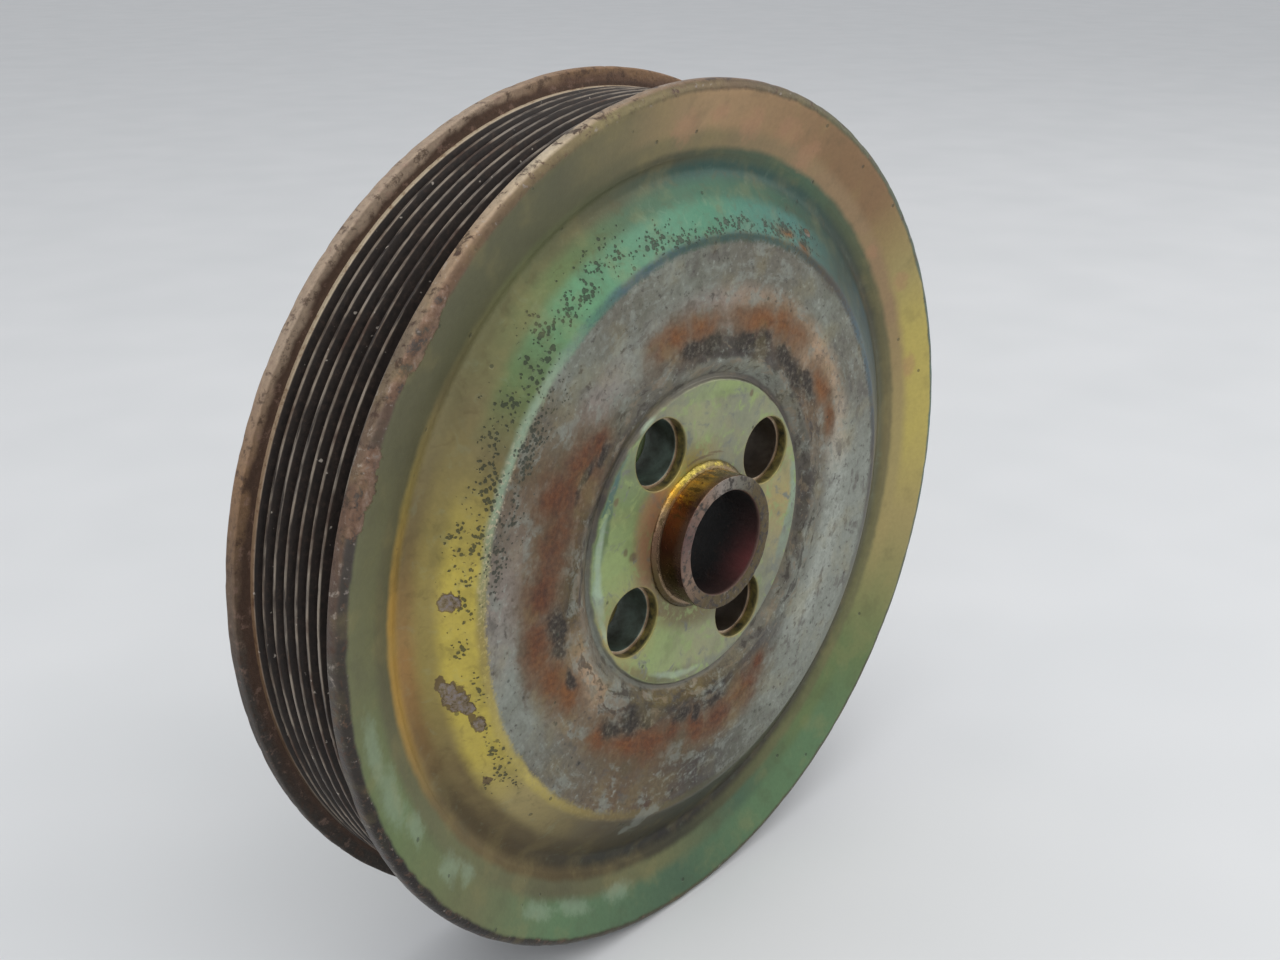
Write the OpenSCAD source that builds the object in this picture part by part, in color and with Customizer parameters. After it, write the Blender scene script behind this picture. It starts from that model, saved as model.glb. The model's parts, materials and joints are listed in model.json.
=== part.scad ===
// Eight-groove V-ribbed belt pulley, built up from pressed steel discs.
// The pulley's axis is Y. The origin is the centre of the rear bolting face,
// which lies in the middle of the belt. The front, with the nose, faces -Y.
// Outlines are drawn as [radius, height], where height is measured along the
// axis towards the front, so height h in an outline is y = -h in the part.

/* [Rim] */
// Outside diameter over the two flanges
flange_d = 202.2; // [199:0.1:212]
// Diameter over the rib crests
crest_d = 194.2; // [190:0.1:196]
// Number of belt grooves
grooves = 8; // [4:1:8]
// Distance between neighbouring grooves
groove_pitch = 3.56; // [3.5:0.01:3.6]
// Angle between the two walls of a groove
groove_angle = 40; // [36:1:44]
// Width of the flat root of a groove
groove_root = 0.75; // [0.4:0.05:1]
// Width of the flat crest between two grooves
groove_crest = 0.6; // [0.3:0.05:0.9]
// Distance from a flange to the centre of the first groove
groove_edge = 2.5; // [2.5:0.1:4]
// Steel left under the groove roots
band_wall = 3.2; // [2.5:0.1:4.5]
// Thickness of the front flange
front_flange_t = 3.6; // [3:0.1:4.5]
// Thickness of the rear flange
rear_flange_t = 3.8; // [3:0.1:4.5]
// Rounding of the outer flange edges
flange_round = 1.8; // [0.8:0.1:2]

/* [Front disc] */
// Thickness of the front sheet
front_sheet = 2.6; // [2:0.1:3]
// Height of the flat pad over the bolting face
pad_h = 19.66; // [19:0.01:21]
// Diameter of the flat pad
pad_d = 72.4; // [70:0.1:74]
// How far the raised annulus stands over the pad
annulus_rise = 1.0; // [0.5:0.1:1.5]
// Diameter where the raised annulus starts
annulus_inner_d = 81.2; // [80:0.1:90]
// Diameter where the raised annulus ends
annulus_outer_d = 138; // [130:1:142]
// Diameter of the crisp ridge between the valley and the outer ring
ridge_d = 170.2; // [166:0.1:172]
// Diameter of the bottom of the valley
valley_d = 164.8; // [160:0.1:166]
// Depth of the valley's bottom under the front flange
valley_drop = 5.96; // [5:0.02:7]
// Height of the ridge over the valley's bottom
ridge_rise = 1.4; // [1:0.1:2]
// Depth of the groove pressed around the pad
pad_groove = 0.76; // [0.4:0.02:1]

/* [Hub] */
// Diameter of the circle that the bolt holes lie on
bolt_pcd = 54.4; // [52:0.1:55]
// Number of bolt holes
bolt_count = 4; // [3:1:5]
// Angle of the first bolt hole, from +X towards +Z
bolt_phase = 31; // [0:1:89]
// Diameter of the holes in the front disc
front_hole_d = 16.4; // [15:0.1:16.6]
// Diameter of the bolt holes in the layers behind it
bolt_hole_d = 15; // [11:0.1:16]
// Diameter of the hub tube where the layers sit on it
tube_seat_d = 31; // [30:0.1:31.4]
// Diameter of the tube's nose
nose_d = 31.6; // [31.5:0.1:32]
// Bore of the hub tube
tube_bore_d = 24.6; // [20:0.1:26]
// Height of the nose's end over the bolting face
nose_end = 27.16; // [25:0.01:32]
// Diameter of the spacer between the two discs
spacer_d = 77; // [74:1:78]
// Thickness of the plate at the rear bolting face
rear_plate_t = 5; // [4:0.5:6]
// Diameter of that plate
rear_plate_d = 84; // [80:1:86]

/* [Rear disc] */
// Thickness of the rear sheet
rear_sheet = 3; // [2.5:0.1:3.5]
// Diameter of the rear disc's flat centre
rear_flat_d = 94; // [92:1:98]
// Diameter where the rear disc's cone meets its flange
rear_cone_d = 173; // [168:1:175]

/* [Hidden] */
$fn = 180;
ARC_STEPS = 6;

flange_r = flange_d / 2;
crest_r = crest_d / 2;
zone_half = ((grooves - 1) * groove_pitch + 2 * groove_edge) / 2;
groove_top = groove_pitch - groove_crest;
groove_depth = (groove_top - groove_root) / 2 / tan(groove_angle / 2);
band_inner_r = crest_r - groove_depth - band_wall;

// Front disc: heights of its front surface, and how it is bent
annulus_h = pad_h + annulus_rise;
lip_h = zone_half + front_flange_t;
lip_r = flange_r - 2.7;
valley_h = lip_h - valley_drop;
ridge_h = valley_h + ridge_rise;
pad_r = pad_d / 2;
groove_wall_w = 0.6;
groove_floor_w = 0.8;
pad_round = 0.5;
groove_round = 0.4;
annulus_round = 2;
shoulder_round = 2.5;
valley_round = 4.5;
ridge_round = 1.5;
lip_round = 3;
back_bend_w = 1;                 // half the width of the step behind the annulus's start
back_round = 1;
seat_r = crest_r - 1.5;          // the band's front end is flat outside this radius
seat_slope = (zone_half - ridge_h + front_sheet) / (seat_r - ridge_d / 2);

// Rear disc: how it is bent
rear_sheet_h = rear_plate_t + rear_sheet;
flat_round = 4;
cone_round = 5;
cone_inner_round = 3;

// Hub
tube_r = tube_seat_d / 2;
bolt_r = bolt_pcd / 2;
pad_back_h = pad_h - front_sheet;
tube_end_h = 0.3;                // the tube stops just short of the bolting face
nose_break = 0.3;
rear_chamfer = 1.5;
plate_break = 0.8;

// Braze and weld
nose_braze_w = 2.1;              // how far the braze around the nose reaches over the pad
nose_braze_rise = 1.2;
nose_braze_depth = 1.06;         // the chamfer under it, in the front disc
nose_gap = 0.05;                 // between that braze and the nose, which is wider than the seat
rear_braze_sag = 0.12;
fillet_leg = 2.5;
braze_leg = 1.6;
braze_lip = 0.8;
braze_sag = 0.35;                // how hollow a braze fillet is, from 0 to 1
weld_leg = 3;
weld_foot = 2.1;
weld_sag = 0.1;

edge = 0.5;                      // small edge break
drill_run = 1;                   // how far a drill runs past a face

// A corner q between p and s, rounded to radius rad by an arc of short steps.
function unit(v) = v / norm(v);
function turn(a) = a > 180 ? a - 360 : a < -180 ? a + 360 : a;
function corner(p, q, s, rad) =
    rad <= 0 ? [q] :
    let (u = unit(p - q),
         v = unit(s - q),
         half = acos(max(-1, min(1, u * v))) / 2,
         c = q + unit(u + v) * rad / sin(half),
         from = q + u * rad / tan(half) - c,
         to = q + v * rad / tan(half) - c,
         a0 = atan2(from[1], from[0]),
         sweep = turn(atan2(to[1], to[0]) - a0))
    [for (i = [0:ARC_STEPS]) c + rad * [cos(a0 + sweep * i / ARC_STEPS), sin(a0 + sweep * i / ARC_STEPS)]];

// A closed outline of [radius, height, rounding] corners.
function outline(pts) =
    let (n = len(pts))
    [for (i = [0:n - 1])
        let (p = pts[(i + n - 1) % n], q = pts[i], s = pts[(i + 1) % n])
        each corner([p[0], p[1]], [q[0], q[1]], [s[0], s[1]], q[2])];

// A concave fillet of braze in the corner k, with legs that end at p and q.
function fillet(k, p, q, sag = braze_sag) =
    let (mid = (p + q) / 2, ctrl = mid + (k - mid) * sag)
    concat([k], [for (i = [0:ARC_STEPS])
        let (t = i / ARC_STEPS)
        (1 - t) * (1 - t) * p + 2 * t * (1 - t) * ctrl + t * t * q]);

// Turns an outline about the pulley's axis, with its heights towards the front.
module turned(pts) {
    rotate([90, 0, 0])
        rotate_extrude()
            polygon(pts);
}

// The ring of round holes through the hub, between two heights.
module bolt_holes(d, low, high) {
    rotate([90, 0, 0])
        for (i = [0:bolt_count - 1])
            rotate(bolt_phase + i * 360 / bolt_count)
                translate([bolt_r, 0, low])
                    cylinder(d = d, h = high - low);
}

// Pressed sheet: pad, raised annulus, valley, outer ring and the front flange.
module front_disc() {
    front = [
        [tube_r, pad_h - nose_braze_depth, 0],
        [tube_r + nose_braze_w, pad_h, 0],
        [pad_r, pad_h, pad_round],
        [pad_r + groove_wall_w, pad_h - pad_groove, groove_round],
        [pad_r + groove_wall_w + groove_floor_w, pad_h - pad_groove, 2 * groove_round],
        [annulus_inner_d / 2, annulus_h, annulus_round],
        [annulus_outer_d / 2, annulus_h, shoulder_round],
        [valley_d / 2, valley_h, valley_round],
        [ridge_d / 2, ridge_h, ridge_round],
        [lip_r, lip_h, lip_round],
        [flange_r, lip_h, flange_round]
    ];
    back = [
        [flange_r, zone_half, edge],
        [seat_r, zone_half, 0],
        [ridge_d / 2, ridge_h - front_sheet, ridge_round],
        [valley_d / 2, valley_h - front_sheet, valley_round],
        [annulus_outer_d / 2, annulus_h - front_sheet, shoulder_round],
        [annulus_inner_d / 2 + back_bend_w, annulus_h - front_sheet, back_round],
        [annulus_inner_d / 2 - back_bend_w, pad_back_h, back_round],
        [tube_r, pad_back_h, 0]
    ];
    color("darkkhaki")
        difference() {
            turned(outline(concat(front, back)));
            bolt_holes(front_hole_d, pad_back_h - drill_run, pad_h + drill_run);
        }
}

// Rolled band between the flanges, with the belt grooves cut in its outside.
module grooved_rim() {
    root_r = crest_r - groove_depth;
    seat_drop = (seat_r - band_inner_r) * seat_slope;
    function groove(h) = [
        [crest_r, h + groove_top / 2],
        [root_r, h + groove_root / 2],
        [root_r, h - groove_root / 2],
        [crest_r, h - groove_top / 2]
    ];
    color("dimgray")
        turned(concat(
            [[band_inner_r, zone_half - seat_drop], [seat_r, zone_half], [crest_r, zone_half]],
            [for (i = [0:grooves - 1]) each groove(zone_half - groove_edge - i * groove_pitch)],
            [[crest_r, -zone_half], [band_inner_r, -zone_half]]));
}

// Pressed sheet: flat centre, cone and the rear flange.
module rear_disc() {
    cone_slope = (rear_plate_t + zone_half + rear_flange_t) / (rear_cone_d / 2 - rear_flat_d / 2);
    flange_front_r = rear_cone_d / 2 - (rear_flange_t - rear_sheet) / cone_slope;
    color("darkkhaki")
        difference() {
            turned(outline([
                [tube_r, rear_sheet_h, 0],
                [tube_r, rear_plate_t, 0],
                [rear_flat_d / 2, rear_plate_t, flat_round],
                [rear_cone_d / 2, -zone_half - rear_flange_t, cone_round],
                [flange_r, -zone_half - rear_flange_t, flange_round],
                [flange_r, -zone_half, edge],
                [flange_front_r, -zone_half, cone_inner_round],
                [rear_flat_d / 2, rear_sheet_h, flat_round]
            ]));
            bolt_holes(bolt_hole_d, rear_plate_t - drill_run, rear_sheet_h + drill_run);
        }
}

// Thick ring that keeps the two discs apart where the bolts squeeze them.
module hub_spacer() {
    color("slategray")
        difference() {
            turned(outline([
                [tube_r, rear_sheet_h, 0],
                [spacer_d / 2, rear_sheet_h, 0],
                [spacer_d / 2, pad_back_h, 0],
                [tube_r, pad_back_h, 0]
            ]));
            bolt_holes(bolt_hole_d, rear_sheet_h - drill_run, pad_back_h + drill_run);
        }
}

// Plate that gives the rear bolting face.
module rear_hub_plate() {
    color("gray")
        difference() {
            turned(outline([
                [tube_r, rear_plate_t, 0],
                [tube_r, rear_chamfer, 0],
                [tube_r + rear_chamfer, 0, 0],
                [rear_plate_d / 2 - plate_break, 0, 0],
                [rear_plate_d / 2, plate_break, 0],
                [rear_plate_d / 2, rear_plate_t, 0]
            ]));
            bolt_holes(bolt_hole_d, -drill_run, rear_plate_t + drill_run);
        }
}

// Tube through all the layers. Its nose centres what is bolted on the front.
module hub_tube() {
    bore_r = tube_bore_d / 2;
    nose_r = nose_d / 2;
    nose_start_h = pad_h + nose_braze_rise + nose_gap;
    color("peru")
        turned([
            [bore_r, tube_end_h + edge],
            [bore_r + edge, tube_end_h],
            [tube_r, tube_end_h],
            [tube_r, nose_start_h],
            [nose_r, nose_start_h],
            [nose_r, nose_end - nose_break],
            [nose_r - nose_break, nose_end],
            [bore_r + edge, nose_end],
            [bore_r, nose_end - edge]
        ]);
}

// Braze around the nose: a low dome that fills the front disc's chamfer.
module tube_front_braze() {
    color("goldenrod")
        turned(concat(
            [[tube_r, pad_h - nose_braze_depth]],
            [for (i = [0:ARC_STEPS])
                let (a = 90 * i / ARC_STEPS)
                [tube_r + nose_braze_w * cos(a), pad_h + nose_braze_rise * sin(a)]]));
}

// Braze in the rear chamfer around the tube.
module tube_rear_braze() {
    reach = rear_chamfer - tube_end_h;
    color("goldenrod")
        turned([
            [tube_r, rear_chamfer],
            [tube_r, tube_end_h],
            [tube_r + reach / 2, tube_end_h + rear_braze_sag],
            [tube_r + reach, tube_end_h]
        ]);
}

// Braze fillets where the spacer meets the two discs, inside the pulley.
module spacer_front_braze() {
    k = [spacer_d / 2, pad_back_h];
    color("goldenrod")
        turned(fillet(k, k - [0, braze_leg], k + [braze_lip, 0]));
}

module spacer_rear_braze() {
    k = [spacer_d / 2, rear_sheet_h];
    color("goldenrod")
        turned(fillet(k, k + [braze_leg, 0], k + [0, braze_leg]));
}

// Fillet weld around the rear plate.
module rear_plate_weld() {
    k = [rear_plate_d / 2, rear_plate_t];
    color("darkgray")
        turned(fillet(k, k - [0, weld_leg], k + [weld_foot, 0], weld_sag));
}

// Braze fillets where the band meets the two discs, inside the pulley.
module front_rim_braze() {
    k = [band_inner_r, zone_half - (seat_r - band_inner_r) * seat_slope];
    color("goldenrod")
        turned(fillet(k, k - [fillet_leg, fillet_leg * seat_slope], k - [0, fillet_leg]));
}

module rear_rim_braze() {
    k = [band_inner_r, -zone_half];
    color("goldenrod")
        turned(fillet(k, k + [0, fillet_leg], k - [fillet_leg, 0]));
}

front_disc();
grooved_rim();
rear_disc();
hub_spacer();
rear_hub_plate();
hub_tube();
tube_front_braze();
tube_rear_braze();
spacer_front_braze();
spacer_rear_braze();
rear_plate_weld();
front_rim_braze();
rear_rim_braze();
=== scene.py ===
import json
import math
import random

import bmesh
import bpy
import numpy as np
from mathutils import Matrix, Vector
from mathutils.geometry import delaunay_2d_cdt


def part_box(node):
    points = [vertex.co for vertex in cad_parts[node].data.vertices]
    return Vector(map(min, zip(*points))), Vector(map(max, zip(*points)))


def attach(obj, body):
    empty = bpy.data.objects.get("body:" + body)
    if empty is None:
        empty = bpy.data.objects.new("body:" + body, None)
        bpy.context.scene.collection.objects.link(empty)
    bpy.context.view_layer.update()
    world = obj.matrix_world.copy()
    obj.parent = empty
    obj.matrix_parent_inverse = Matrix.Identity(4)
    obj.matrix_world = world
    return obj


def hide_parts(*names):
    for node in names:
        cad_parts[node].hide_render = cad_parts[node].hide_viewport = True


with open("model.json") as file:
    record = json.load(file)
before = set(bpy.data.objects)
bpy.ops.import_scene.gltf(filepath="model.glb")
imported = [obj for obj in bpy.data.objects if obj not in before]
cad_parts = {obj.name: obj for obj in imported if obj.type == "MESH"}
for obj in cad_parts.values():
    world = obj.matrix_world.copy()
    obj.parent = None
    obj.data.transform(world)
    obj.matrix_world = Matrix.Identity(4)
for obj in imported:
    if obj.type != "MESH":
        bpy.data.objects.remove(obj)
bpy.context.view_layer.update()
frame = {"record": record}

# ---------------------------------------------------------------------------------------------
# Sizes in millimetres. The pulley turns about Y and its front faces -Y. Outlines are drawn as
# (radius, height, rounding) corners, and height is measured along the axis towards the front.
# Angles are in degrees, seen from the front, from +X towards +Z.
# ---------------------------------------------------------------------------------------------
MM = 0.001
MOUNTS = {m["name"]: m for m in frame["record"]["mounts"]}


def outer_radius(node):
    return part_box(node)[1].z / MM


def front_height(node):
    return -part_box(node)[0].y / MM


def back_height(node):
    return -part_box(node)[1].y / MM


FLANGE_R = outer_radius("front_disc")
CREST_R = outer_radius("grooved_rim")
SPACER_R = outer_radius("hub_spacer")
PLATE_R = outer_radius("rear_hub_plate")
NOSE_R = MOUNTS["pilot_nose"]["dims"]["r_mm"]
BORE_R = MOUNTS["pilot_bore"]["dims"]["r_mm"]
BOLT_R = MOUNTS["hub_bolts"]["dims"]["pcd_mm"] / 2
BOLT_HOLE_R = MOUNTS["hub_bolts"]["dims"]["hole_r_mm"]
FRONT_HOLE_R = MOUNTS["front_holes"]["dims"]["hole_r_mm"]
BOLT_PHASE = 31
BOLT_ANGLES = [math.radians(BOLT_PHASE + 90 * i) for i in range(4)]

ZONE_H = front_height("grooved_rim")
ANNULUS_H = front_height("front_disc")
PAD_H = -MOUNTS["front_pad"]["pos_m"][1] / MM
PAD_BACK_H = front_height("hub_spacer")
SPACER_BACK_H = back_height("hub_spacer")
PLATE_H = front_height("rear_hub_plate")
REAR_H = back_height("rear_disc")
NOSE_H = front_height("hub_tube")
TUBE_BACK_H = back_height("hub_tube")

FRONT_SHEET = PAD_H - PAD_BACK_H
TUBE_R = 15.5
NOSE_BRAZE_R = 17.6
NOSE_BRAZE_DEPTH = 1.06
NOSE_BRAZE_RISE = 1.2
NOSE_START_H = PAD_H + NOSE_BRAZE_RISE + 0.05
PAD_R = 36.2
PAD_GROOVE_R = 36.8
PAD_GROOVE_OUT_R = 37.6
PAD_GROOVE_H = PAD_H - 0.76
ANNULUS_R = 40.6
SHOULDER_R = 69.0
VALLEY_R = 82.4
RIDGE_R = 85.1
LIP_R = 98.4
LIP_H = ZONE_H + 3.6
VALLEY_H = LIP_H - 5.96
RIDGE_H = VALLEY_H + 1.4
FLANGE_ROUND = 1.8
EDGE = 0.5

GROOVES = 8
PITCH = 3.56
GROOVE_TOP = PITCH - 0.6
GROOVE_ROOT = 0.75
GROOVE_DEPTH = (GROOVE_TOP - GROOVE_ROOT) / 2 / math.tan(math.radians(20))
ROOT_R = CREST_R - GROOVE_DEPTH
BAND_R = ROOT_R - 3.2
SEAT_R = CREST_R - 1.5
SEAT_SLOPE = (ZONE_H - RIDGE_H + FRONT_SHEET) / (SEAT_R - RIDGE_R)
BAND_FRONT_H = ZONE_H - (SEAT_R - BAND_R) * SEAT_SLOPE
CREST_ROUND = 0.16
ROOT_ROUND = 0.2

REAR_FLAT_R = 47.0
REAR_CONE_R = 86.5
REAR_CONE_IN_R = 85.17
REAR_CHAMFER = 1.5
PLATE_BREAK = 0.8
NOSE_BREAK = 0.3

# Points around the axis and around a hole, and the longest steps along an outline
SEGMENTS = 600
HOLE_SEGMENTS = 96
FINE, MEDIUM = 0.8, 1.6

# Where the finish changes: the worn plateau, the flange's worn edge, and the band's plain lands
PLATEAU_FROM, PLATEAU_TO = 38.4, 67.5
WORN_FROM, WORN_FULL = 98.3, 99.4
LAND_FROM, LAND_FULL = 13.7, 14.1
REAR_BELT_SIDE_H = -15.1


# ---------------------------------------------------------------------------------------------
# Mesh building
# ---------------------------------------------------------------------------------------------
def rounded_corner(before, at, after, radius):
    """The points of the corner `at`, rounded to a radius."""
    if radius <= 0:
        return [at]
    u = (before - at) / np.linalg.norm(before - at)
    v = (after - at) / np.linalg.norm(after - at)
    half = math.acos(max(-1.0, min(1.0, float(u @ v)))) / 2
    centre = at + (u + v) / np.linalg.norm(u + v) * radius / math.sin(half)
    start = at + u * radius / math.tan(half) - centre
    end = at + v * radius / math.tan(half) - centre
    first = math.atan2(start[1], start[0])
    sweep = (math.atan2(end[1], end[0]) - first + math.pi) % (2 * math.pi) - math.pi
    steps = max(3, math.ceil(abs(sweep) / math.radians(15)))
    angles = first + sweep * np.arange(steps + 1) / steps
    return [centre + radius * np.array([math.cos(a), math.sin(a)]) for a in angles]


def crosses_bolts(p, q):
    """Whether an outline's stretch is one of the flats that the bolt holes go through."""
    low, high = sorted((p[0], q[0]))
    return abs(p[1] - q[1]) < 1e-6 and low < BOLT_R - BOLT_HOLE_R and high > BOLT_R + BOLT_HOLE_R


def outline(corners, step, drilled=False):
    """A closed outline with round corners and no stretch longer than a step. Also says which
    stretches are flats with bolt holes, which stay whole."""
    flat = [np.array(c[:2], float) for c in corners]
    rough = []
    for i, corner in enumerate(corners):
        rough += rounded_corner(flat[i - 1], flat[i], flat[(i + 1) % len(flat)], corner[2])
    points, flats = [], []
    for i, p in enumerate(rough):
        q = rough[(i + 1) % len(rough)]
        points.append(p)
        if drilled and crosses_bolts(p, q):
            flats.append(len(points) - 1)
            continue
        parts = max(1, math.ceil(float(np.linalg.norm(q - p)) / step))
        points += [p + (q - p) * k / parts for k in range(1, parts)]
    return points, flats


def circle(radius, count, centre=(0.0, 0.0)):
    angles = 2 * np.pi * np.arange(count) / count
    return np.stack([centre[0] + radius * np.cos(angles), centre[1] + radius * np.sin(angles)], 1)


class Shape:
    """Points as (x, z, height) in millimetres, and faces, collected before they become a mesh."""

    def __init__(self):
        self.points = np.zeros((0, 3))
        self.faces = []

    def add(self, flat, height):
        """Adds points at one height, and returns their numbers."""
        first = len(self.points)
        block = np.column_stack([flat, np.full(len(flat), float(height))])
        self.points = np.vstack([self.points, block])
        return np.arange(first, len(self.points))

    def bridge(self, one, other):
        """Fills between two loops of as many points."""
        quads = np.column_stack([one, np.roll(one, -1), np.roll(other, -1), other])
        self.faces += quads.tolist()

    def turn(self, points, skip=(), segments=SEGMENTS):
        """Turns a closed outline about the axis, and returns its loops."""
        loops = [self.add(circle(r, segments), h) for r, h in points]
        for i, loop in enumerate(loops):
            if i not in skip:
                self.bridge(loop, loops[(i + 1) % len(loops)])
        return loops

    def drill(self, hole_r, top, bottom, edge):
        """Makes the bolt holes' walls with rounded edges, and returns their top and bottom loops."""
        turns = np.linspace(0, np.pi / 2, 5)
        lip = [(edge * (1 - math.sin(a)), edge * (1 - math.cos(a))) for a in turns]
        wall = [(0.0, d) for d in np.linspace(edge, top - bottom - edge, 7)[1:-1]]
        profile = [(w, top - d) for w, d in lip + wall] + [(w, bottom + d) for w, d in reversed(lip)]
        ends = []
        for a in BOLT_ANGLES:
            centre = (BOLT_R * math.cos(a), BOLT_R * math.sin(a))
            loops = [self.add(circle(hole_r + w, HOLE_SEGMENTS, centre), h) for w, h in profile]
            for one, other in zip(loops, loops[1:]):
                self.bridge(one, other)
            ends.append((loops[0], loops[-1]))
        return ends

    def fill_flat(self, outer, inner, holes, hole_r, grid=2.4, margin=0.5):
        """Fills the flat between two loops, around the bolt holes."""
        height = self.points[outer[0], 2]
        loops = [outer, inner, *holes]
        r_out, r_in = (float(np.linalg.norm(self.points[loop[0], :2])) for loop in (outer, inner))
        centres = [np.array([BOLT_R * math.cos(a), BOLT_R * math.sin(a)]) for a in BOLT_ANGLES]
        radii = np.arange(r_in + grid, r_out - grid / 2, grid)
        extra = [circle(r_out - margin, SEGMENTS // 2), circle(r_in + margin, SEGMENTS // 3)]
        extra += [circle(hole_r + margin, HOLE_SEGMENTS, c) for c in centres]
        extra += [circle(r, int(2 * math.pi * r / grid)) for r in radii]
        keep, border_rings = [], 2 + len(centres)
        for number, ring in enumerate(extra):
            gap = (0.9 if number < border_rings else 1.8) * margin
            away = np.linalg.norm(ring, axis=1)
            good = (away > r_in + gap) & (away < r_out - gap)
            for c in centres:
                good &= np.linalg.norm(ring - c, axis=1) > hole_r + gap
            keep.append(ring[good])
        added = self.add(np.vstack(keep), height)
        numbers = [*(n for loop in loops for n in loop), *added]
        edges, first = [], 0
        for loop in loops:
            count = len(loop)
            edges += [(first + k, first + (k + 1) % count) for k in range(count)]
            first += count
        flat = [Vector(self.points[n, :2]) for n in numbers]
        out = delaunay_2d_cdt(flat, edges, [], 0, 1e-7, True)
        for face in out[2]:
            middle = sum((out[0][k] for k in face), Vector((0, 0))) / 3
            inside = any((middle - Vector(c)).length < hole_r for c in centres)
            if r_in < middle.length < r_out and not inside:
                self.faces.append([numbers[out[3][k][0]] for k in face])


def turned(corners, step, segments=SEGMENTS):
    shape = Shape()
    shape.turn(outline(corners, step)[0], segments=segments)
    return shape


def drilled(corners, step, hole_r, edge=0.3):
    """A turned shape with the ring of bolt holes through its two flats."""
    shape = Shape()
    points, flats = outline(corners, step, drilled=True)
    loops = shape.turn(points, skip=flats)
    heights = [points[k][1] for k in flats]
    ends = shape.drill(hole_r, max(heights), min(heights), edge)
    for k in flats:
        pair = sorted((loops[k], loops[(k + 1) % len(loops)]), key=lambda n: -abs(shape.points[n[0], 0]))
        side = 0 if points[k][1] == max(heights) else 1
        shape.fill_flat(pair[0], pair[1], [end[side] for end in ends], hole_r + edge)
    return shape


def waves(angle, count, height, seed):
    """A smooth, closed wandering of about +-height around the axis, with up to `count` waves."""
    draw = random.Random(seed)
    total = np.zeros_like(angle)
    for k in range(1, count + 1):
        total += draw.uniform(-1, 1) * np.cos(k * angle + draw.uniform(0, 2 * math.pi)) / math.sqrt(count)
    return height * total


def dents(angle, count, width, depth, seed):
    """Small dents around the axis, up to `depth` deep. Their half width is in radians."""
    draw = random.Random(seed)
    total = np.zeros_like(angle)
    for _ in range(count):
        at, half = draw.uniform(-math.pi, math.pi), width * draw.uniform(0.4, 1.3)
        away = (angle - at + math.pi) % (2 * math.pi) - math.pi
        total = np.maximum(total, draw.uniform(0.25, 1) * np.exp(-(away / half) ** 2))
    return depth * total


def piece(name, node, shape, material, worn=None):
    """Makes a piece that stands for a CAD node. worn(r, h, angle) gives how far its points move."""
    x, z, h = shape.points.T.copy()
    if worn:
        r, angle = np.hypot(x, z), np.arctan2(z, x)
        out, up = worn(r, h, angle)
        x, z, h = x * (r + out) / r, z * (r + out) / r, h + up
    mesh = bpy.data.meshes.new(name)
    mesh.from_pydata(np.column_stack([x, -h, z]) * MM, [], shape.faces)
    soup = bmesh.new()
    soup.from_mesh(mesh)
    loose = [v for v in soup.verts if not v.link_faces]
    bmesh.ops.delete(soup, geom=loose, context="VERTS")
    bmesh.ops.recalc_face_normals(soup, faces=soup.faces)
    soup.to_mesh(mesh)
    soup.free()
    mesh.polygons.foreach_set("use_smooth", [True] * len(mesh.polygons))
    mesh.set_sharp_from_angle(angle=math.radians(35))
    mesh.materials.append(material)
    made = bpy.data.objects.new(name, mesh)
    bpy.context.scene.collection.objects.link(made)
    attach(made, "root")
    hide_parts(node)
    return made


# ---------------------------------------------------------------------------------------------
# The pieces
# ---------------------------------------------------------------------------------------------
def near(value, centre, width):
    """1 at a value, falling to 0 a width away from it."""
    return np.exp(-((value - centre) / width) ** 2)


def flange_edge(r):
    """0 inside the flange, rising to 1 at its edge."""
    return np.clip((r - LIP_R) / (FLANGE_R - LIP_R), 0, 1)


def front_disc(material):
    corners = [
        (TUBE_R, PAD_H - NOSE_BRAZE_DEPTH, 0),
        (NOSE_BRAZE_R, PAD_H, 0),
        (PAD_R, PAD_H, 0.5),
        (PAD_GROOVE_R, PAD_GROOVE_H, 0.4),
        (PAD_GROOVE_OUT_R, PAD_GROOVE_H, 0.8),
        (ANNULUS_R, ANNULUS_H, 2),
        (SHOULDER_R, ANNULUS_H, 2.5),
        (VALLEY_R, VALLEY_H, 4.5),
        (RIDGE_R, RIDGE_H, 1.5),
        (LIP_R, LIP_H, 3),
        (FLANGE_R, LIP_H, FLANGE_ROUND),
        (FLANGE_R, ZONE_H, EDGE),
        (SEAT_R, ZONE_H, 0),
        (RIDGE_R, RIDGE_H - FRONT_SHEET, 1.5),
        (VALLEY_R, VALLEY_H - FRONT_SHEET, 4.5),
        (SHOULDER_R, ANNULUS_H - FRONT_SHEET, 2.5),
        (ANNULUS_R + 1, ANNULUS_H - FRONT_SHEET, 1),
        (ANNULUS_R - 1, PAD_BACK_H, 1),
        (TUBE_R, PAD_BACK_H, 0),
    ]

    def worn(r, h, angle):
        edge = flange_edge(r)
        front = np.clip((h - ZONE_H) / (LIP_H - ZONE_H), 0, 1)
        out = -edge * (dents(angle, 70, 0.012, 0.22, 21) * front + dents(angle, 26, 0.03, 0.18, 22))
        sheet = near(r, (SHOULDER_R + ANNULUS_R) / 2, 12) * (h > PAD_BACK_H - 1)
        up = -sheet * (0.05 + waves(angle, 6, 0.04, 23)) - edge * front * dents(angle, 60, 0.02, 0.14, 24)
        return out, up

    piece("front_disc_sheet", "front_disc", drilled(corners, MEDIUM, FRONT_HOLE_R),
          material, worn)


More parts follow.
